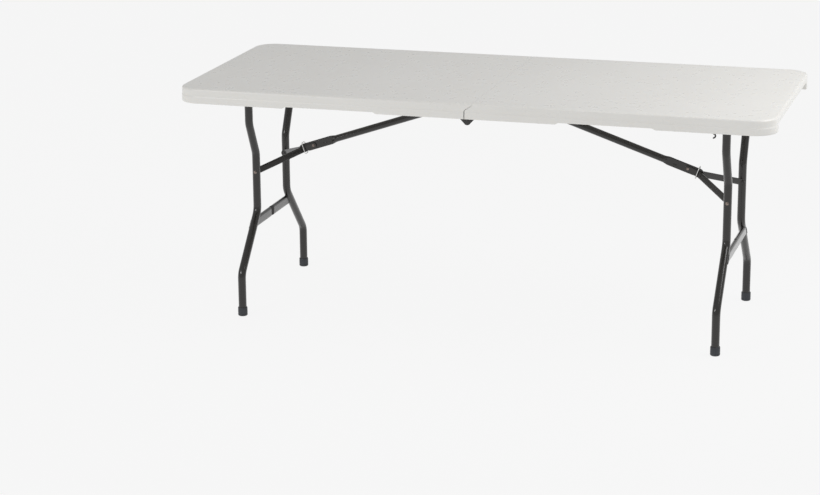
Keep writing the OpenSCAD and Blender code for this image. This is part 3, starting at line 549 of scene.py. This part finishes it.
def board(side):
    """Points and faces of one half: the moulded underside, the rim, the top and the seam wall."""
    xs_line = XM - GRID_X * np.arange(int(round((XM - 0.5) / GRID_X)), -1, -1)
    xs_line = xs_line + (LAST_COLUMN - xs_line[0]) % GRID_X - GRID_X
    xs_line = xs_line[(xs_line > SEAM_X + 1.5) & (xs_line < XM - 1.5)]
    xs_line = np.concatenate([[SEAM_X], xs_line, [XM]])
    straight = np.arange(-(YM - RI), YM - RI + 0.01, GRID_Y)
    corner_y = (YM - RI) + RI * np.sin(np.linspace(0, math.pi / 2, 17)[1:])
    ys = np.concatenate([-corner_y[::-1], straight, corner_y])
    round_y = np.maximum(np.abs(ys) - (YM - RI), 0)
    x_end = XM - RI + np.sqrt(np.maximum(0, RI ** 2 - round_y ** 2))
    k = (x_end[:, None] - STRETCH_X) / (XM - STRETCH_X)
    gx = np.where(xs_line > STRETCH_X, STRETCH_X + (xs_line - STRETCH_X) * k, xs_line)
    gy = np.repeat(ys[:, None], len(xs_line), axis=1)
    gx, gy = snapped_grid(gx, gy)
    gz = field_height(gx, gy)
    rows, cols = gx.shape
    verts = [np.column_stack([gx.ravel(), gy.ravel(), gz.ravel()])]
    faces = []
    for j in range(rows - 1):
        for i in range(cols - 1):
            a = j * cols + i
            faces.append((a, a + cols, a + cols + 1, a + 1))
    base = rows * cols
    # stations round the outline: front edge, end, back edge
    loop = [(0, i) for i in range(cols)] + [(j, cols - 1) for j in range(1, rows)]
    loop += [(rows - 1, i) for i in range(cols - 2, -1, -1)]
    stations = []
    for j, i in loop:
        x, y = gx[j, i], gy[j, i]
        if abs(y) > YM - RI and x > XM - RI + 0.01:
            nrm = unit(np.array([x, y]) - (XM - RI, math.copysign(YM - RI, y)))
        elif abs(abs(y) - YM) < 0.01:
            nrm = np.array([0.0, math.copysign(1.0, y)])
        else:
            nrm = np.array([1.0, 0.0])
        stations.append((x, y, nrm))

    def outer_d(z):
        """How far the outline lies inside its full size at height z: a small ledge, and the round top edge."""
        if z > TOP - EDGE_R:
            return EDGE_IN + EDGE_R * (1 - math.sqrt(max(0.0, 1.0 - ((z - TOP + EDGE_R) / EDGE_R) ** 2)))
        return float(np.interp(z, *PARTING))

    ring = []
    for x, y, nrm in stations:
        low, thin = rim_low(x + nrm[0] * RING_IN, y + nrm[1] * RING_IN)
        prof = [(27.2, FLOOR - 0.6), (26.6, FLOOR - 3.0), (24.6, low + 2.2), (23.6, low + 0.7), (21.6, low),
                (14.0, low - 0.25), (6.0, low - 0.25), (3.0, low), (1.0, low + 0.8), (0.2, low + 2.4),
                (0.0, low + 5.0), (0.0, 711.5)] + [(outer_d(z), z) for z in LEVELS]
        if thin > 0:
            lower = [(d + (e - d) * thin, z + (g - z) * thin) for (d, z), (e, g) in zip(prof, THIN_EDGE)]
            prof = lower + prof[len(THIN_EDGE):]
        ring.append([(*(np.array([x, y]) + nrm * (RING_IN - d)), z) for d, z in prof])
    ring = np.array(ring)
    n_prof = ring.shape[1]
    n_low = n_prof - len(LEVELS)

    def sheared(p):
        """Seam lap: the upper part of the board starts further in or out than its foot."""
        q = p.copy()
        q[..., 0] += seam_shift(q[..., 2], side) * np.clip(1 - (q[..., 0] - SEAM_X) / SHEAR_REACH, 0, 1)
        return q

    ring = sheared(ring)
    verts.append(ring.reshape(-1, 3))
    n_st = len(stations)

    def rid(k, m):
        return base + k * n_prof + m

    def gid(k):
        j, i = loop[k]
        return j * cols + i

    for k in range(n_st - 1):
        faces.append((gid(k), gid(k + 1), rid(k + 1, 0), rid(k, 0)))
        for m in range(n_prof - 1):
            faces.append((rid(k, m), rid(k + 1, m), rid(k + 1, m + 1), rid(k, m + 1)))
    # top, in strips across the half
    top = base + n_st * n_prof
    verts.append(sheared(np.array([(x, y, TOP) for x, y, _ in stations])))
    for k in range(n_st - 1):
        faces.append((rid(k, n_prof - 1), rid(k + 1, n_prof - 1), top + k + 1, top + k))
    # seam wall: one column per row of the grid, from the field up to the top
    wall = top + n_st
    verts.append(sheared(np.array([[(SEAM_X, y, z) for z in LEVELS] for y in ys])).reshape(-1, 3))
    nl = len(LEVELS)

    def wid(j, m):
        return wall + j * nl + m

    for j in range(rows - 1):
        faces.append((j * cols, wid(j, 0), wid(j + 1, 0), (j + 1) * cols))
        for m in range(nl - 1):
            faces.append((wid(j, m), wid(j, m + 1), wid(j + 1, m + 1), wid(j + 1, m)))
    # ends of the seam wall, one band for each level
    for k, j in ((0, 0), (n_st - 1, rows - 1)):
        lower = [rid(k, m) for m in range(n_low + 1)]
        faces.append(tuple([gid(k)] + lower + [wid(j, 0)]))
        for m in range(nl - 1):
            faces.append((wid(j, m), rid(k, n_low + m), rid(k, n_low + m + 1), wid(j, m + 1)))
        faces.append((wid(j, nl - 1), rid(k, n_prof - 1), top + k))
    # the top's strips: rows of the grid between the seam wall's top and the end
    first = cols - 1
    top_row = [top + first + j for j in range(rows)]
    for j in range(1, rows - 2):
        faces.append((wid(j, nl - 1), top_row[j], top_row[j + 1], wid(j + 1, nl - 1)))
    front = [top + k for k in range(0, first + 1)]
    back = [top + k for k in range(first + rows - 1, n_st)]
    faces.append(tuple([wid(0, nl - 1)] + front[1:] + [top_row[1], wid(1, nl - 1)]))
    faces.append(tuple([wid(rows - 2, nl - 1), top_row[rows - 2]] + back[:-1] + [wid(rows - 1, nl - 1)]))
    return np.concatenate(verts), faces


for name, side in (("right", 1), ("left", -1)):
    ob = piece("board_" + name, board(side), name + "_half", "board_plastic", "table_top_" + name, side, smooth=0.95)
    mark_sharp(ob, 0.3, (TOP - 0.01) * MM)  # along the seam, so that the wide top stays evenly flat


# ---------------------------------------------------------------- steel parts
def bead(curve, radius, ripple=0.16, pitch=2.6, segs=8):
    """Weld bead: a closed, slightly rippled tube along a closed curve."""
    c = np.asarray(curve, float)
    t = unit(np.roll(c, -1, axis=0) - np.roll(c, 1, axis=0))
    run = np.concatenate([[0], np.cumsum(np.linalg.norm(np.diff(c, axis=0), axis=1))])
    mid = c.mean(axis=0)
    rings = []
    for p, d, s in zip(c, t, run):
        a = unit(p - mid - d * ((p - mid) @ d))
        r = radius * (1 + ripple * math.sin(2 * math.pi * s / pitch) + 0.12 * math.sin(s * 0.37))
        rings.append(p + r * circle(a, np.cross(d, a), segs))
    return loft(rings, closed=True)


def rail(s):
    """Folded channel with the lower flange cut away at the hinge and round the axle."""
    w = RAIL_WALL / 2
    line = rounded_path([(RAIL_IN + w, RAIL_LOW + RAIL_LIP), (RAIL_IN + w, RAIL_LOW + w), (RAIL_OUT - w, RAIL_LOW + w),
                         (RAIL_OUT - w, RAIL_TOP - w), (FLANGE_IN, RAIL_TOP - w)], 2.0, 0.8)
    t = unit(np.gradient(line, axis=0))
    off = np.column_stack([-t[:, 1], t[:, 0]]) * w
    section = np.concatenate([line + off, line - off])
    n = len(line)
    cut = int(np.argmax((line[:, 0] > RAIL_OUT - w - 0.01) & (line[:, 1] > RAIL_LOW + 2.6)))
    # from each x on, the section starts at this point of the line
    stops = [(RAIL_X0, cut), (HINGE_CUT, 0), (AXLE_X - AXLE_CUT, cut), (AXLE_X + AXLE_CUT, 0), (RAIL_X1, None)]
    xs, starts = [], []
    for (x0, i0), (x1, _) in zip(stops[:-1], stops[1:]):
        for x in np.linspace(x0, x1, max(2, int((x1 - x0) / 40)), endpoint=False):
            xs.append(x)
            starts.append(i0)
    xs.append(RAIL_X1)
    verts, faces = [], []
    for x in xs:
        bow = 0.25 * math.sin(x * 0.011)
        for y, z in section:
            verts.append((x, s * (y + bow * (z < RAIL_TOP - 3)), z))
    m = 2 * n
    for k, i0 in enumerate(starts):
        p, q = k * m, (k + 1) * m
        for i in range(i0, n - 1):
            faces.append((p + i, q + i, q + i + 1, p + i + 1))
            faces.append((p + n + i, p + n + i + 1, q + n + i + 1, q + n + i))
        for i in (i0, n - 1):
            faces.append((p + i, p + n + i, q + n + i, q + i))
    # end faces, and those where the section changes
    for k, (before, after) in enumerate(zip([None] + starts, starts + [None])):
        if before == after:
            continue
        lo, hi = (0, cut) if None not in (before, after) else (before if after is None else after, n - 1)
        p = k * m
        faces += [(p + i, p + i + 1, p + n + i + 1, p + n + i) for i in range(lo, hi)]
    return np.array(verts), faces


def leg(s):
    """One leg: bent tube, the saddle that wraps the axle, and its weld."""
    y0, shell_r, saddle = s * LEG_PATH[0][0], 13.0, 19.0
    path = [(AXLE_X, s * y, AXLE_Z - d) for y, d in LEG_PATH]
    path[0] = (AXLE_X, y0, AXLE_Z - LEG_R + 0.1)
    dense = densify(rounded_path(path, LEG_BEND, 4.0), 16.0)
    tan = unit(np.gradient(dense, axis=0))
    bend = np.clip(np.linalg.norm(np.gradient(tan, axis=0), axis=1) / 0.09, 0, 1)
    for _ in range(3):
        bend = (np.roll(bend, 1) + bend + np.roll(bend, -1)) / 3
    rings = tube_rings(dense, LEG_R, 36)
    for i, ring in enumerate(rings):
        # the tube is a little flattened where it is bent
        side = unit(np.cross(tan[i], (1.0, 0.0, 0.0)))
        off = (ring - dense[i]) @ side
        rings[i] = ring - np.outer(off * 0.045 * bend[i], side)
        rings[i][:, 0] += (ring[:, 0] - AXLE_X) * 0.012 * bend[i]
    shell = arc(AXLE_X, AXLE_Z, shell_r, np.radians(np.linspace(32.6, -212.6, 45)))
    shell += arc(AXLE_X, AXLE_Z, AXLE_R + 0.06, np.radians(np.linspace(-224.0, 44.0, 37)))
    dx, dy = circle(np.array([12.6, 0.0]), np.array([0.0, 12.6]), 120).T
    weld = bead(np.column_stack([AXLE_X + dx, y0 + dy, AXLE_Z - np.sqrt(shell_r ** 2 - dx ** 2)]), 1.7)
    return join([loft(rings), plate(shell, y0 - saddle, y0 + saddle), weld])


def axle():
    """Open tube from rail to rail."""
    e = RAIL_OUT - RAIL_WALL - 1.0
    ys = [-e, -e + 0.6, -e + 8] + list(np.linspace(-300, 300, 31)) + [e - 8, e - 0.6, e]
    prof = [(AXLE_R - (0.5 if abs(y) == e else 0.0), y) for y in ys] + [(AXLE_R - AXLE_WALL, y) for y in ys[::-1]]
    return lathe(prof, (AXLE_X, 0, AXLE_Z), (0, 1, 0), 40, closed=True)


def outline_of_bar(h, w, n, runs):
    """Round-ended bar outline as (across, up), h tall and w wide; runs is the number of steps along its flats."""
    r, flat = w / 2, h / 2 - w / 2
    turn = [math.pi * k / n for k in range(n + 1)]
    out = [(r * math.cos(t), flat + r * math.sin(t)) for t in turn]
    out += [(-r, flat * (1 - 2 * k / runs)) for k in range(1, runs)]
    out += [(-r * math.cos(t), -flat - r * math.sin(t)) for t in turn]
    out += [(r, flat * (-1 + 2 * k / runs)) for k in range(1, runs)]
    return np.array(out)


def cross_bar():
    """Bar with ends that follow the legs, a pressed saddle for the folded brace, and its welds."""
    sec = outline_of_bar(BAR_H, BAR_W, 10, 9)
    zc = AXLE_Z - BAR_DROP
    x, z = AXLE_X + BAR_OFF + sec[:, 0], zc + sec[:, 1]
    end = BAR_REACH + (zc - z) * BAR_SLOPE - 1.0
    rings = [np.column_stack([x, -end, z])]
    for y in sorted({round(v, 2) for v in [*np.arange(-20, 20.1, 0.8), *np.linspace(-150, 150, 25)]}):
        bent = x
        if abs(y) < SADDLE_R:
            bent = np.maximum(x, AXLE_X + SADDLE_X + math.sqrt(SADDLE_R ** 2 - y ** 2))
        elif abs(y) < 18:
            bent = x + 0.3 * (18 - abs(y)) / (18 - SADDLE_R) * (x < AXLE_X + 4)
        rings.append(np.column_stack([bent, np.full(len(sec), float(y)), z]))
    rings.append(np.column_stack([x, end, z]))
    parts = [loft(rings)]
    loop = densify(outline_of_bar(BAR_H, BAR_W, 22, 9), 0.8, closed=True)
    dx = loop[:, 0] + BAR_OFF
    depth = math.hypot(1, BAR_SLOPE) * np.sqrt(np.maximum(LEG_R ** 2 - dx ** 2, 1.5))
    for s in (-1, 1):
        y = s * (BAR_REACH - loop[:, 1] * BAR_SLOPE - depth + 0.3)
        parts.append(bead(np.column_stack([AXLE_X + dx, y, zc + loop[:, 1]]), 1.6))
    return join(parts)


def laid(points, origin, angle):
    """From a bar's own frame, X along it and Z square to it, to the table's; the bar slopes down by the angle."""
    p = np.asarray(points, float)
    c, s = math.cos(angle), math.sin(angle)
    return np.column_stack([origin[0] + p[:, 0] * c + p[:, 2] * s, p[:, 1], origin[1] - p[:, 0] * s + p[:, 2] * c])


def on_tube(points):
    return laid(points, PIVOT, TUBE_ANGLE)


def on_strap(points):
    return laid(points, JOINT, STRAP_ANGLE)


def brace_tube():
    """Round tube, pressed flat at the pivot and, over its last part, at the joint with the straps."""
    pivot_flat = outline_of_bar(2 * EYE_R, FLAT_T, 12, 15) * (-1, 1)
    end_flat = outline_of_bar(28.0, FLAT_T, 12, 15) * (-1, 1)
    # a round section whose points run with the flat one's
    count = len(end_flat)
    th = math.pi - 2 * math.pi * np.arange(count) / count
    grow = np.unwrap(np.arctan2(end_flat[:, 1] / 14.0, end_flat[:, 0] / 2.5)[::-1])[::-1]
    grow = (grow - grow[0]) / (grow[-1] - grow[0]) * (th[-1] - th[0]) + th[0]
    disc = np.column_stack([np.cos(grow), np.sin(grow)]) * TUBE_R
    # the tube is round from r0 to r1, flat from r2 on, and ends at r3 with rounded corners
    r0, r1, r2, r3, end_r = 31.0, TUBE_LEN - 82.0, TUBE_LEN - 62.0, TUBE_LEN + 50.0, 14.0
    stops = np.concatenate([
        -EYE_R * np.cos(np.linspace(0.02, math.pi / 2, 9)), np.linspace(2, 13, 4), np.linspace(14, r0, 12),
        np.linspace(40, r1 - 6, 46), np.linspace(r1 - 3, r2 + 3, 18), np.arange(r2 + 4, TUBE_LEN + 18, 1.0),
        np.arange(TUBE_LEN + 18.5, TUBE_LEN + 31, 0.5), np.linspace(TUBE_LEN + 32, r3 - end_r, 3),
        r3 - end_r + end_r * np.sin(np.linspace(0.1, math.pi / 2 - 0.02, 11))])
    rings = []
    for s in stops:
        if s < 14:
            sec = pivot_flat.copy()
            if s < 0:
                sec[:, 1] *= math.sqrt(max(0.0, 1 - (s / EYE_R) ** 2))
        elif s < r0:
            t = smooth_step((s - 14) / 16.0)
            sec = pivot_flat * (1 - t) + disc * t
        elif s < r1:
            sec = disc
        elif s < r2:
            t = smooth_step((s - r1) / (r2 - r1))
            sec = disc * (1 - t) + end_flat * t
            sec[:, 1] *= 1 + 0.03 * math.sin(math.pi * t)
        else:
            sec = end_flat.copy()
            if s > r3 - end_r:
                sec[:, 1] *= math.sqrt(max(0.0, 1 - ((s - r3 + end_r) / end_r) ** 2))
            notch = s - TUBE_LEN - 25.0  # half-round notch in the lower edge, where the ring locks
            if abs(notch) < 5.0:
                sec[:, 1] = np.maximum(sec[:, 1], -15.0 + math.sqrt(25.0 - notch * notch))
            dent = np.hypot((s - TUBE_LEN + 42.0) / 7.0, sec[:, 1] / 4.0)
            sec[:, 0] *= 1 - 0.42 * smooth_step((1.15 - dent) / 0.5)
        rings.append(on_tube(np.column_stack([np.full(count, s), sec[:, 0], sec[:, 1]])))
    return loft(rings)


def strap(s):
    """Bent flat bar with round ends and the rivet head at its lower end."""
    w, c = STRAP_T / 2, 0.5  # half thickness, rounding of its edges
    y0 = FLAT_T / 2 + STRAP_GAP + w
    ear = LEG_NARROW - LEG_R - EAR_GAP - w
    line = densify(rounded_path([(-STRAP_R, y0, 0), (37.4, y0, 0), (37.4 + ear - y0, ear, 0),
                                 (STRAP_LEN + STRAP_R, ear, 0)], 7.0, 1.2), 3.0)
    ends = STRAP_R - STRAP_R * np.cos(np.linspace(0.12, math.pi / 2, 9))
    head = [(-STRAP_R + e, y0, 0) for e in ends]
    tail = [(STRAP_LEN + STRAP_R - e, ear, 0) for e in ends[::-1]]
    line = np.array(head + [tuple(p) for p in line if 0.5 < p[0] < STRAP_LEN - 0.5] + tail)
    rings = []
    for p, d in zip(line, unit(np.gradient(line, axis=0))):
        nrm = np.array([-d[1], d[0], 0.0])
        e = max(0.0, -p[0], p[0] - STRAP_LEN)
        h = STRAP_R * math.sqrt(max(0.006, 1 - (e / STRAP_R) ** 2))
        side = [(w - c, h), (w - 0.3 * c, h - 0.3 * c), (w, h - c), (w, h / 3)]
        right = [(a, -b) for a, b in side] + side[::-1]
        sec = right + [(-a, b) for a, b in right[::-1]]
        ring = np.array([p + nrm * a + np.array([0, 0, b]) for a, b in sec])
        ring[:, 1] *= s
        rings.append(on_strap(ring))
    v, f = lathe(dome(5.0, 2.0), (STRAP_LEN, s * (ear - w), 0), (0, -s, 0), 24)
    return join([loft(rings), (on_strap(v), f)])


def lock_ring():
    """Wire loop round the flat part of the brace, a little thicker where it is welded shut."""
    wire, bend = 1.5, 7.0
    up, out = 17.0 + wire - bend, 12.5 + wire - bend
    pts = []
    for k, (sy, sz) in enumerate(((1, 1), (-1, 1), (-1, -1), (1, -1))):
        pts += [(0.0, y, z) for y, z in arc(sy * out, sz * up, bend, np.radians(90 * k + np.linspace(0, 90, 9)))]
    c = densify(pts, 1.5, closed=True)
    rings = []
    for p, d in zip(c, unit(np.roll(c, -1, axis=0) - np.roll(c, 1, axis=0))):
        x = np.array([1.0, 0.0, 0.0])
        swell = 1 + 0.16 * math.exp(-(p[1] / 1.6) ** 2) * (p[2] > 0)
        rings.append(on_tube(p + (TUBE_LEN + 32.0, 0, 0) + wire * swell * circle(x, np.cross(d, x), 16)))
    return loft(rings, closed=True)


def washer(origin, axis, r0, r1, h):
    """Flat ring with a rounded outer edge, standing h proud."""
    prof = [(r0, 0.0), (r0, h), (r1 - 0.5 * h, h), (r1 - 0.15 * h, 0.75 * h), (r1, 0.0)]
    return lathe(prof, origin, axis, 36, closed=True)


def axle_bracket(s):
    """Two cheeks with a floor between them and a bearing ring; the right front and left back ones have a hook."""
    low, z0, z1 = BEARING_LOW, RAIL_LOW + RAIL_WALL + 0.1, RAIL_TOP - RAIL_WALL - 0.1
    half = [(54, z1), (54, z0), (33, z0), (14, low)]
    cheek = round_outline([(AXLE_X - x, z) for x, z in half[1:]] + [(AXLE_X + x, z) for x, z in half[::-1]]
                          + [(AXLE_X - 54, z1)], [2.5, 6, 7, 7, 6, 2.5, 2.5, 2.5])
    y_in, y_out = RAIL_IN + 2.0, RAIL_OUT - RAIL_WALL - 3.1
    parts = [plate(cheek, s * y, s * (y + PLATE_T)) for y in (y_in, y_out)]
    floor = round_outline([(AXLE_X - 13, y_in + 0.5), (AXLE_X + 13, y_in + 0.5), (AXLE_X + 13, y_out + 2.5),
                           (AXLE_X - 13, y_out + 2.5)], 1.2)
    parts.append(slab(floor, s, low, low + 2.5))
    parts.append(washer((AXLE_X, s * y_in, AXLE_Z), (0, -s, 0), AXLE_R + 0.1, AXLE_R + 3.4, 1.3))
    if s < 0:
        th = np.radians(np.linspace(100, -100, 25))
        hook = arc(AXLE_X - 14.5, low - 6.5, 8.5, th) + arc(AXLE_X - 14.5, low - 6.5, 4.0, th[::-1])
        parts.append(plate(hook, s * y_out, s * (y_out + PLATE_T)))
    return join(parts)


def hinge_leaf(s, y, boss):
    """Plate with the knuckle eye; boss adds the spacers between it and the rail."""
    outline = arc(0.0, HINGE_Z, KNUCKLE_R, np.radians(-58 - np.linspace(0, 254, 25)))
    outline += list(round_outline([(10.0, RAIL_TOP - 5), (76.0, RAIL_TOP - 5), (76.0, RAIL_LOW + 3),
                                   (30.4, RAIL_LOW + 3)], [2, 4, 4, 2]))
    parts = [plate(outline, s * y, s * (y + PLATE_T))]
    z = AXLE_Z - 2
    for x in (34.0, 62.0):
        if boss:
            spacer = [(6.0, 0.0), (6.0, RAIL_OUT - RAIL_WALL - y - PLATE_T)]
            parts.append(lathe(spacer, (x, s * (y + PLATE_T), z), (0, s, 0), 24))
        parts.append(rivet(x, z, s * RAIL_OUT, s))
        parts.append(rivet(x, z, s * y, -s, 4.2, 1.2))
    parts.append(washer((0.0, s * y, HINGE_Z), (0, -s, 0), PIN_R + 0.2, 8.4, 0.25))
    return join(parts)


def hinge_pin(s):
    """Pin with a domed head at both ends."""
    y0, y1 = LEAF_Y[1] - 0.3, LEAF_Y[-1] + PLATE_T + 0.05
    head = [(7.0, 0.0), (7.0, 0.9)] + arc_profile(7.0, 0.9, 3.0, 2.1)[1:] + [(0.02, 2.15)]
    return join([lathe([(PIN_R, 0.0), (PIN_R, y1 - y0)], (0, s * y0, HINGE_Z), (0, s, 0), 24),
                 lathe(head, (0, s * y0, HINGE_Z), (0, -s, 0), 32),
                 lathe([(a, b * 0.92) for a, b in head], (0, s * y1, HINGE_Z), (0, s, 0), 32)])


def brace_bracket():
    """Two ears on screwed feet, joined by a narrow web, with a filled corner at each ear."""
    px, pz = PIVOT
    half, sheet, y0 = 13.0, 2.5, FLAT_T / 2 + 0.3
    ear = arc(px, pz, EYE_R, np.linspace(0, -math.pi, 21))
    ear += [(px - half, pz + 7.0), (px - half, FLOOR - 1.0), (px + half, FLOOR - 1.0), (px + half, pz + 7.0)]
    foot = round_outline([(px - half, y0), (px + half, y0), (px + half, 20.0), (px - half, 20.0)], [0.4, 0.4, 5, 5])
    fillet = [(y0 + 2.3, FLOOR - 1.9), (y0 + 4.6, FLOOR - 1.9), (y0 + 3.2, FLOOR - 2.7), (y0 + 2.4, FLOOR - 4.2)]
    parts = []
    for s in (-1, 1):
        parts.append(plate(ear, s * y0, s * (y0 + sheet)))
        parts.append(slab(foot, s, FLOOR - 2.0, FLOOR - 0.02))
        parts.append(loft([np.array([(x, s * y, z) for y, z in fillet]) for x in (px - 12.6, px + 12.6)]))
    web = [(px - half, -3), (px + half, -3), (px + half, 3), (px - half, 3)]
    return join(parts + [slab(web, 1, FLOOR - 2.0, FLOOR - 0.02)])


def screw_head(x, y, z, r, h, twist):
    """Pan head seen from below, with a cross recess; its rim lies at height z."""
    segs, steps = 40, 9
    th = np.linspace(0, 2 * math.pi, segs, endpoint=False) + twist
    rings = []
    for k in range(steps + 1):
        u = k / steps
        rr = r * math.cos(u * math.pi / 2) ** 0.8 if k < steps else 0.05
        hh = h * (0.25 + 0.75 * math.sin(u * math.pi / 2) ** 0.9)
        px, py = np.abs(rr * np.cos(th - twist)), np.abs(rr * np.sin(th - twist))
        slot = (np.minimum(px, py) < 0.16 * r) & (np.maximum(px, py) < 0.56 * r)
        rings.append(np.column_stack([x + rr * np.cos(th), y + rr * np.sin(th), z - hh + slot * 0.5 * h]))
    rim = rings[0].copy()
    rim[:, 2] = z
    return loft([rim] + rings)


def foot_cap(s):
    """Rubber cap with a groove, thick at the floor."""
    prof = [(11.0, 0.0), (12.6, 0.2), (13.9, 1.0), (14.7, 2.3), (15.0, 4.0), (15.0, 6.8), (14.75, 7.2), (14.5, 7.5),
            (14.5, 8.3), (14.75, 8.7), (15.0, 9.2), (14.95, 14.0), (14.85, 22.0), (14.8, 25.4), (14.6, 26.7),
            (14.1, 27.6), (13.5, 28.0), (12.9, 28.0), (12.55, 27.5), (LEG_R, 24.0)]
    return lathe(prof, (AXLE_X, s * LEG_WIDE, 0.0), (0, 0, 1), 48)


def rivet(x, z, y, s, r=5.0, h=1.6):
    """Domed head on a face at y that looks towards s."""
    return lathe(dome(r, h), (x, y, z), (0, s, 0), 24)


def shank(x, z, y0, y1, segs=20):
    """Plain round pin from y0 to y1."""
    return lathe([(SHANK_R, 0.0), (SHANK_R, abs(y1 - y0))], (x, y0, z), (0, math.copysign(1, y1 - y0), 0), segs)


def both(make):
    """The parts that make(s) lists for the front (s = -1) and the back (s = 1), as one."""
    return join(make(-1) + make(1))


def bracket_rivets(s):
    """The two rivets of an axle bracket, with a head on either side."""
    y_in = RAIL_IN + 2.0
    out = []
    for x in (AXLE_X - 46.0, AXLE_X + 46.0):
        out += [rivet(x, AXLE_Z, s * RAIL_OUT, s), rivet(x, AXLE_Z, s * y_in, -s),
                shank(x, AXLE_Z, s * y_in, s * (y_in + 22.0), segs=16)]
    return out


def leg_rivets(s):
    """Washer and head of the rivet that joins a leg to its strap."""
    y = s * (LEG_NARROW + LEG_R)
    collar = [(5.4, -1.6), (5.4, -0.3), (5.0, 0.1), (4.2, 0.15)]
    return [lathe(collar, (AXLE_X, y, RIVET_Z), (0, s, 0), 28), rivet(AXLE_X, RIVET_Z, y, s, 4.4, 2.0)]


for half, side in (("right", 1), ("left", -1)):
    top, frame_body, straps = half + "_half", "leg_frame_" + half, "straps_" + half
    steel, zinc = "coated_steel", "zinc_plated"
    for s in (-1, 1):
        tag = half + "_" + ("back" if s * side > 0 else "front")
        piece("channel_" + tag, rail(s), top, steel, "rail_" + tag, side, width=0.3)
        piece("leg_tube_" + tag, leg(s), frame_body, steel, "leg_" + tag, side)
        piece("cap_" + tag, foot_cap(s), frame_body, "cap_plastic", "foot_cap_" + tag, side)
        piece("bearing_" + tag, axle_bracket(s), top, steel, "axle_bracket_" + tag, side, width=0.5)
        piece("leaf_" + tag, hinge_leaf(s, LEAF_Y[side], side > 0), top, steel, "hinge_leaf_" + tag, side, width=0.45)
        piece("strap_bar_" + tag, strap(s), straps, steel, "strap_" + tag, side, smooth=1.1)
    piece("axle_tube_" + half, axle(), frame_body, steel, "leg_axle_" + half, side)
    piece("cross_bar_" + half, cross_bar(), frame_body, steel, "crossbar_" + half, side, smooth=0.9)
    piece("brace_" + half + "_tube", brace_tube(), "brace_" + half, steel, "brace_tube_" + half, side, smooth=0.9)
    piece("pivot_bracket_" + half, brace_bracket(), top, steel, "brace_bracket_" + half, side, width=0.5)
    piece("wire_ring_" + half, lock_ring(), "ring_" + half, "ring_wire", "lock_ring_" + half, side)
    pin = both(lambda s: [rivet(*PIVOT, s * 5.3, s, 5.0, 1.8),
                          screw_head(PIVOT[0], s * 13.0, FLOOR - 2.0, 4.4, 2.4, 0.4 * s)])
    pin = join([pin, shank(*PIVOT, -5.5, 5.5)])
    piece("pivot_pin_" + half, pin, top, steel, "brace_pin_" + half, side)
    screws = both(lambda s: [screw_head(x, s * (FLANGE_IN + 7.0), RAIL_TOP - RAIL_WALL, 4.6, 2.4,
                                        float(rng.uniform(0, 1.5))) for x in SCREW_X])
    piece("screws_" + half, screws, top, zinc, "rail_screws_" + half, side)
    piece("bearing_rivets_" + half, both(bracket_rivets), top, zinc, "axle_rivets_" + half, side)
    piece("leg_rivets_" + half, both(leg_rivets), frame_body, zinc, "strap_rivets_" + half, side)
    reach = FLAT_T / 2 + STRAP_GAP + STRAP_T
    v, f = join([both(lambda s: [rivet(TUBE_LEN, 0.0, s * reach, s, 4.6, 2.0)]),
                 shank(TUBE_LEN, 0.0, -reach - 0.4, reach + 0.4)])
    piece("joint_rivet_" + half, (on_tube(v), f), straps, zinc, "brace_rivet_" + half, side)
for s, end in ((-1, "front"), (1, "back")):
    piece("hinge_bolt_" + end, hinge_pin(s), "left_half", "coated_steel", "hinge_pin_" + end)


# ---------------------------------------------------------------- floor, light and camera
def pale_floor():
    """Wide floor that glows as bright as the background, so that no horizon shows."""
    me = bpy.data.meshes.new("floor")
    s = 60.0
    me.from_pydata([(-s, -s, 0), (s, -s, 0), (s, s, 0), (-s, s, 0)], [], [(0, 1, 2, 3)])
    me.materials.append(material(
        "floor_pale", (0.4, 2.0), [(0.3, (0.040, 0.040, 0.040)), (0.7, (0.042, 0.042, 0.042))],
        Roughness=1.0, Specular_IOR_Level=0.0, Emission_Color=(1.0, 1.0, 1.0, 1), Emission_Strength=0.89))
    linked("floor", me)


def area_light(name, place, target, size, power):
    """Soft lamp at a place in metres, turned towards the target."""
    data = bpy.data.lights.new(name, "AREA")
    data.shape = "RECTANGLE"
    data.size, data.size_y = size
    data.energy = power
    ob = linked(name, data)
    ob.location = place
    ob.rotation_mode = "QUATERNION"
    ob.rotation_quaternion = (Vector(target) - Vector(place)).to_track_quat("-Z", "Y")


pale_floor()
world = bpy.data.worlds.new("studio")
bpy.context.scene.world = world
world.use_nodes = True
world.node_tree.nodes["Background"].inputs["Color"].default_value = (1.0, 1.0, 1.0, 1)
world.node_tree.nodes["Background"].inputs["Strength"].default_value = 0.59
area_light("key", (1.8, 0.0, 2.05), (0.75, 0, 0.74), (1.4, 1.0), 22)
area_light("front", (-3.2, -5.2, 3.2), (-0.1, 0, 0.7), (1.6, 1.2), 78)
bpy.context.scene.view_settings.view_transform = "Standard"

cam_data = bpy.data.cameras.new("camera")
cam_data.sensor_width, cam_data.lens, cam_data.clip_end = 36.0, 103.0017, 200.0
cam = linked("camera", cam_data)
cam.location = (1.81739, -6.89056, 2.21497)
azimuth, elevation, roll = math.radians(16.968), math.radians(15.796), math.radians(-0.47)
forward = Vector((-math.sin(azimuth) * math.cos(elevation), math.cos(azimuth) * math.cos(elevation),
                  -math.sin(elevation)))
cam.rotation_mode = "QUATERNION"
cam.rotation_quaternion = forward.to_track_quat("-Z", "Y") @ Quaternion((0.0, 0.0, 1.0), roll)
bpy.context.scene.camera = cam
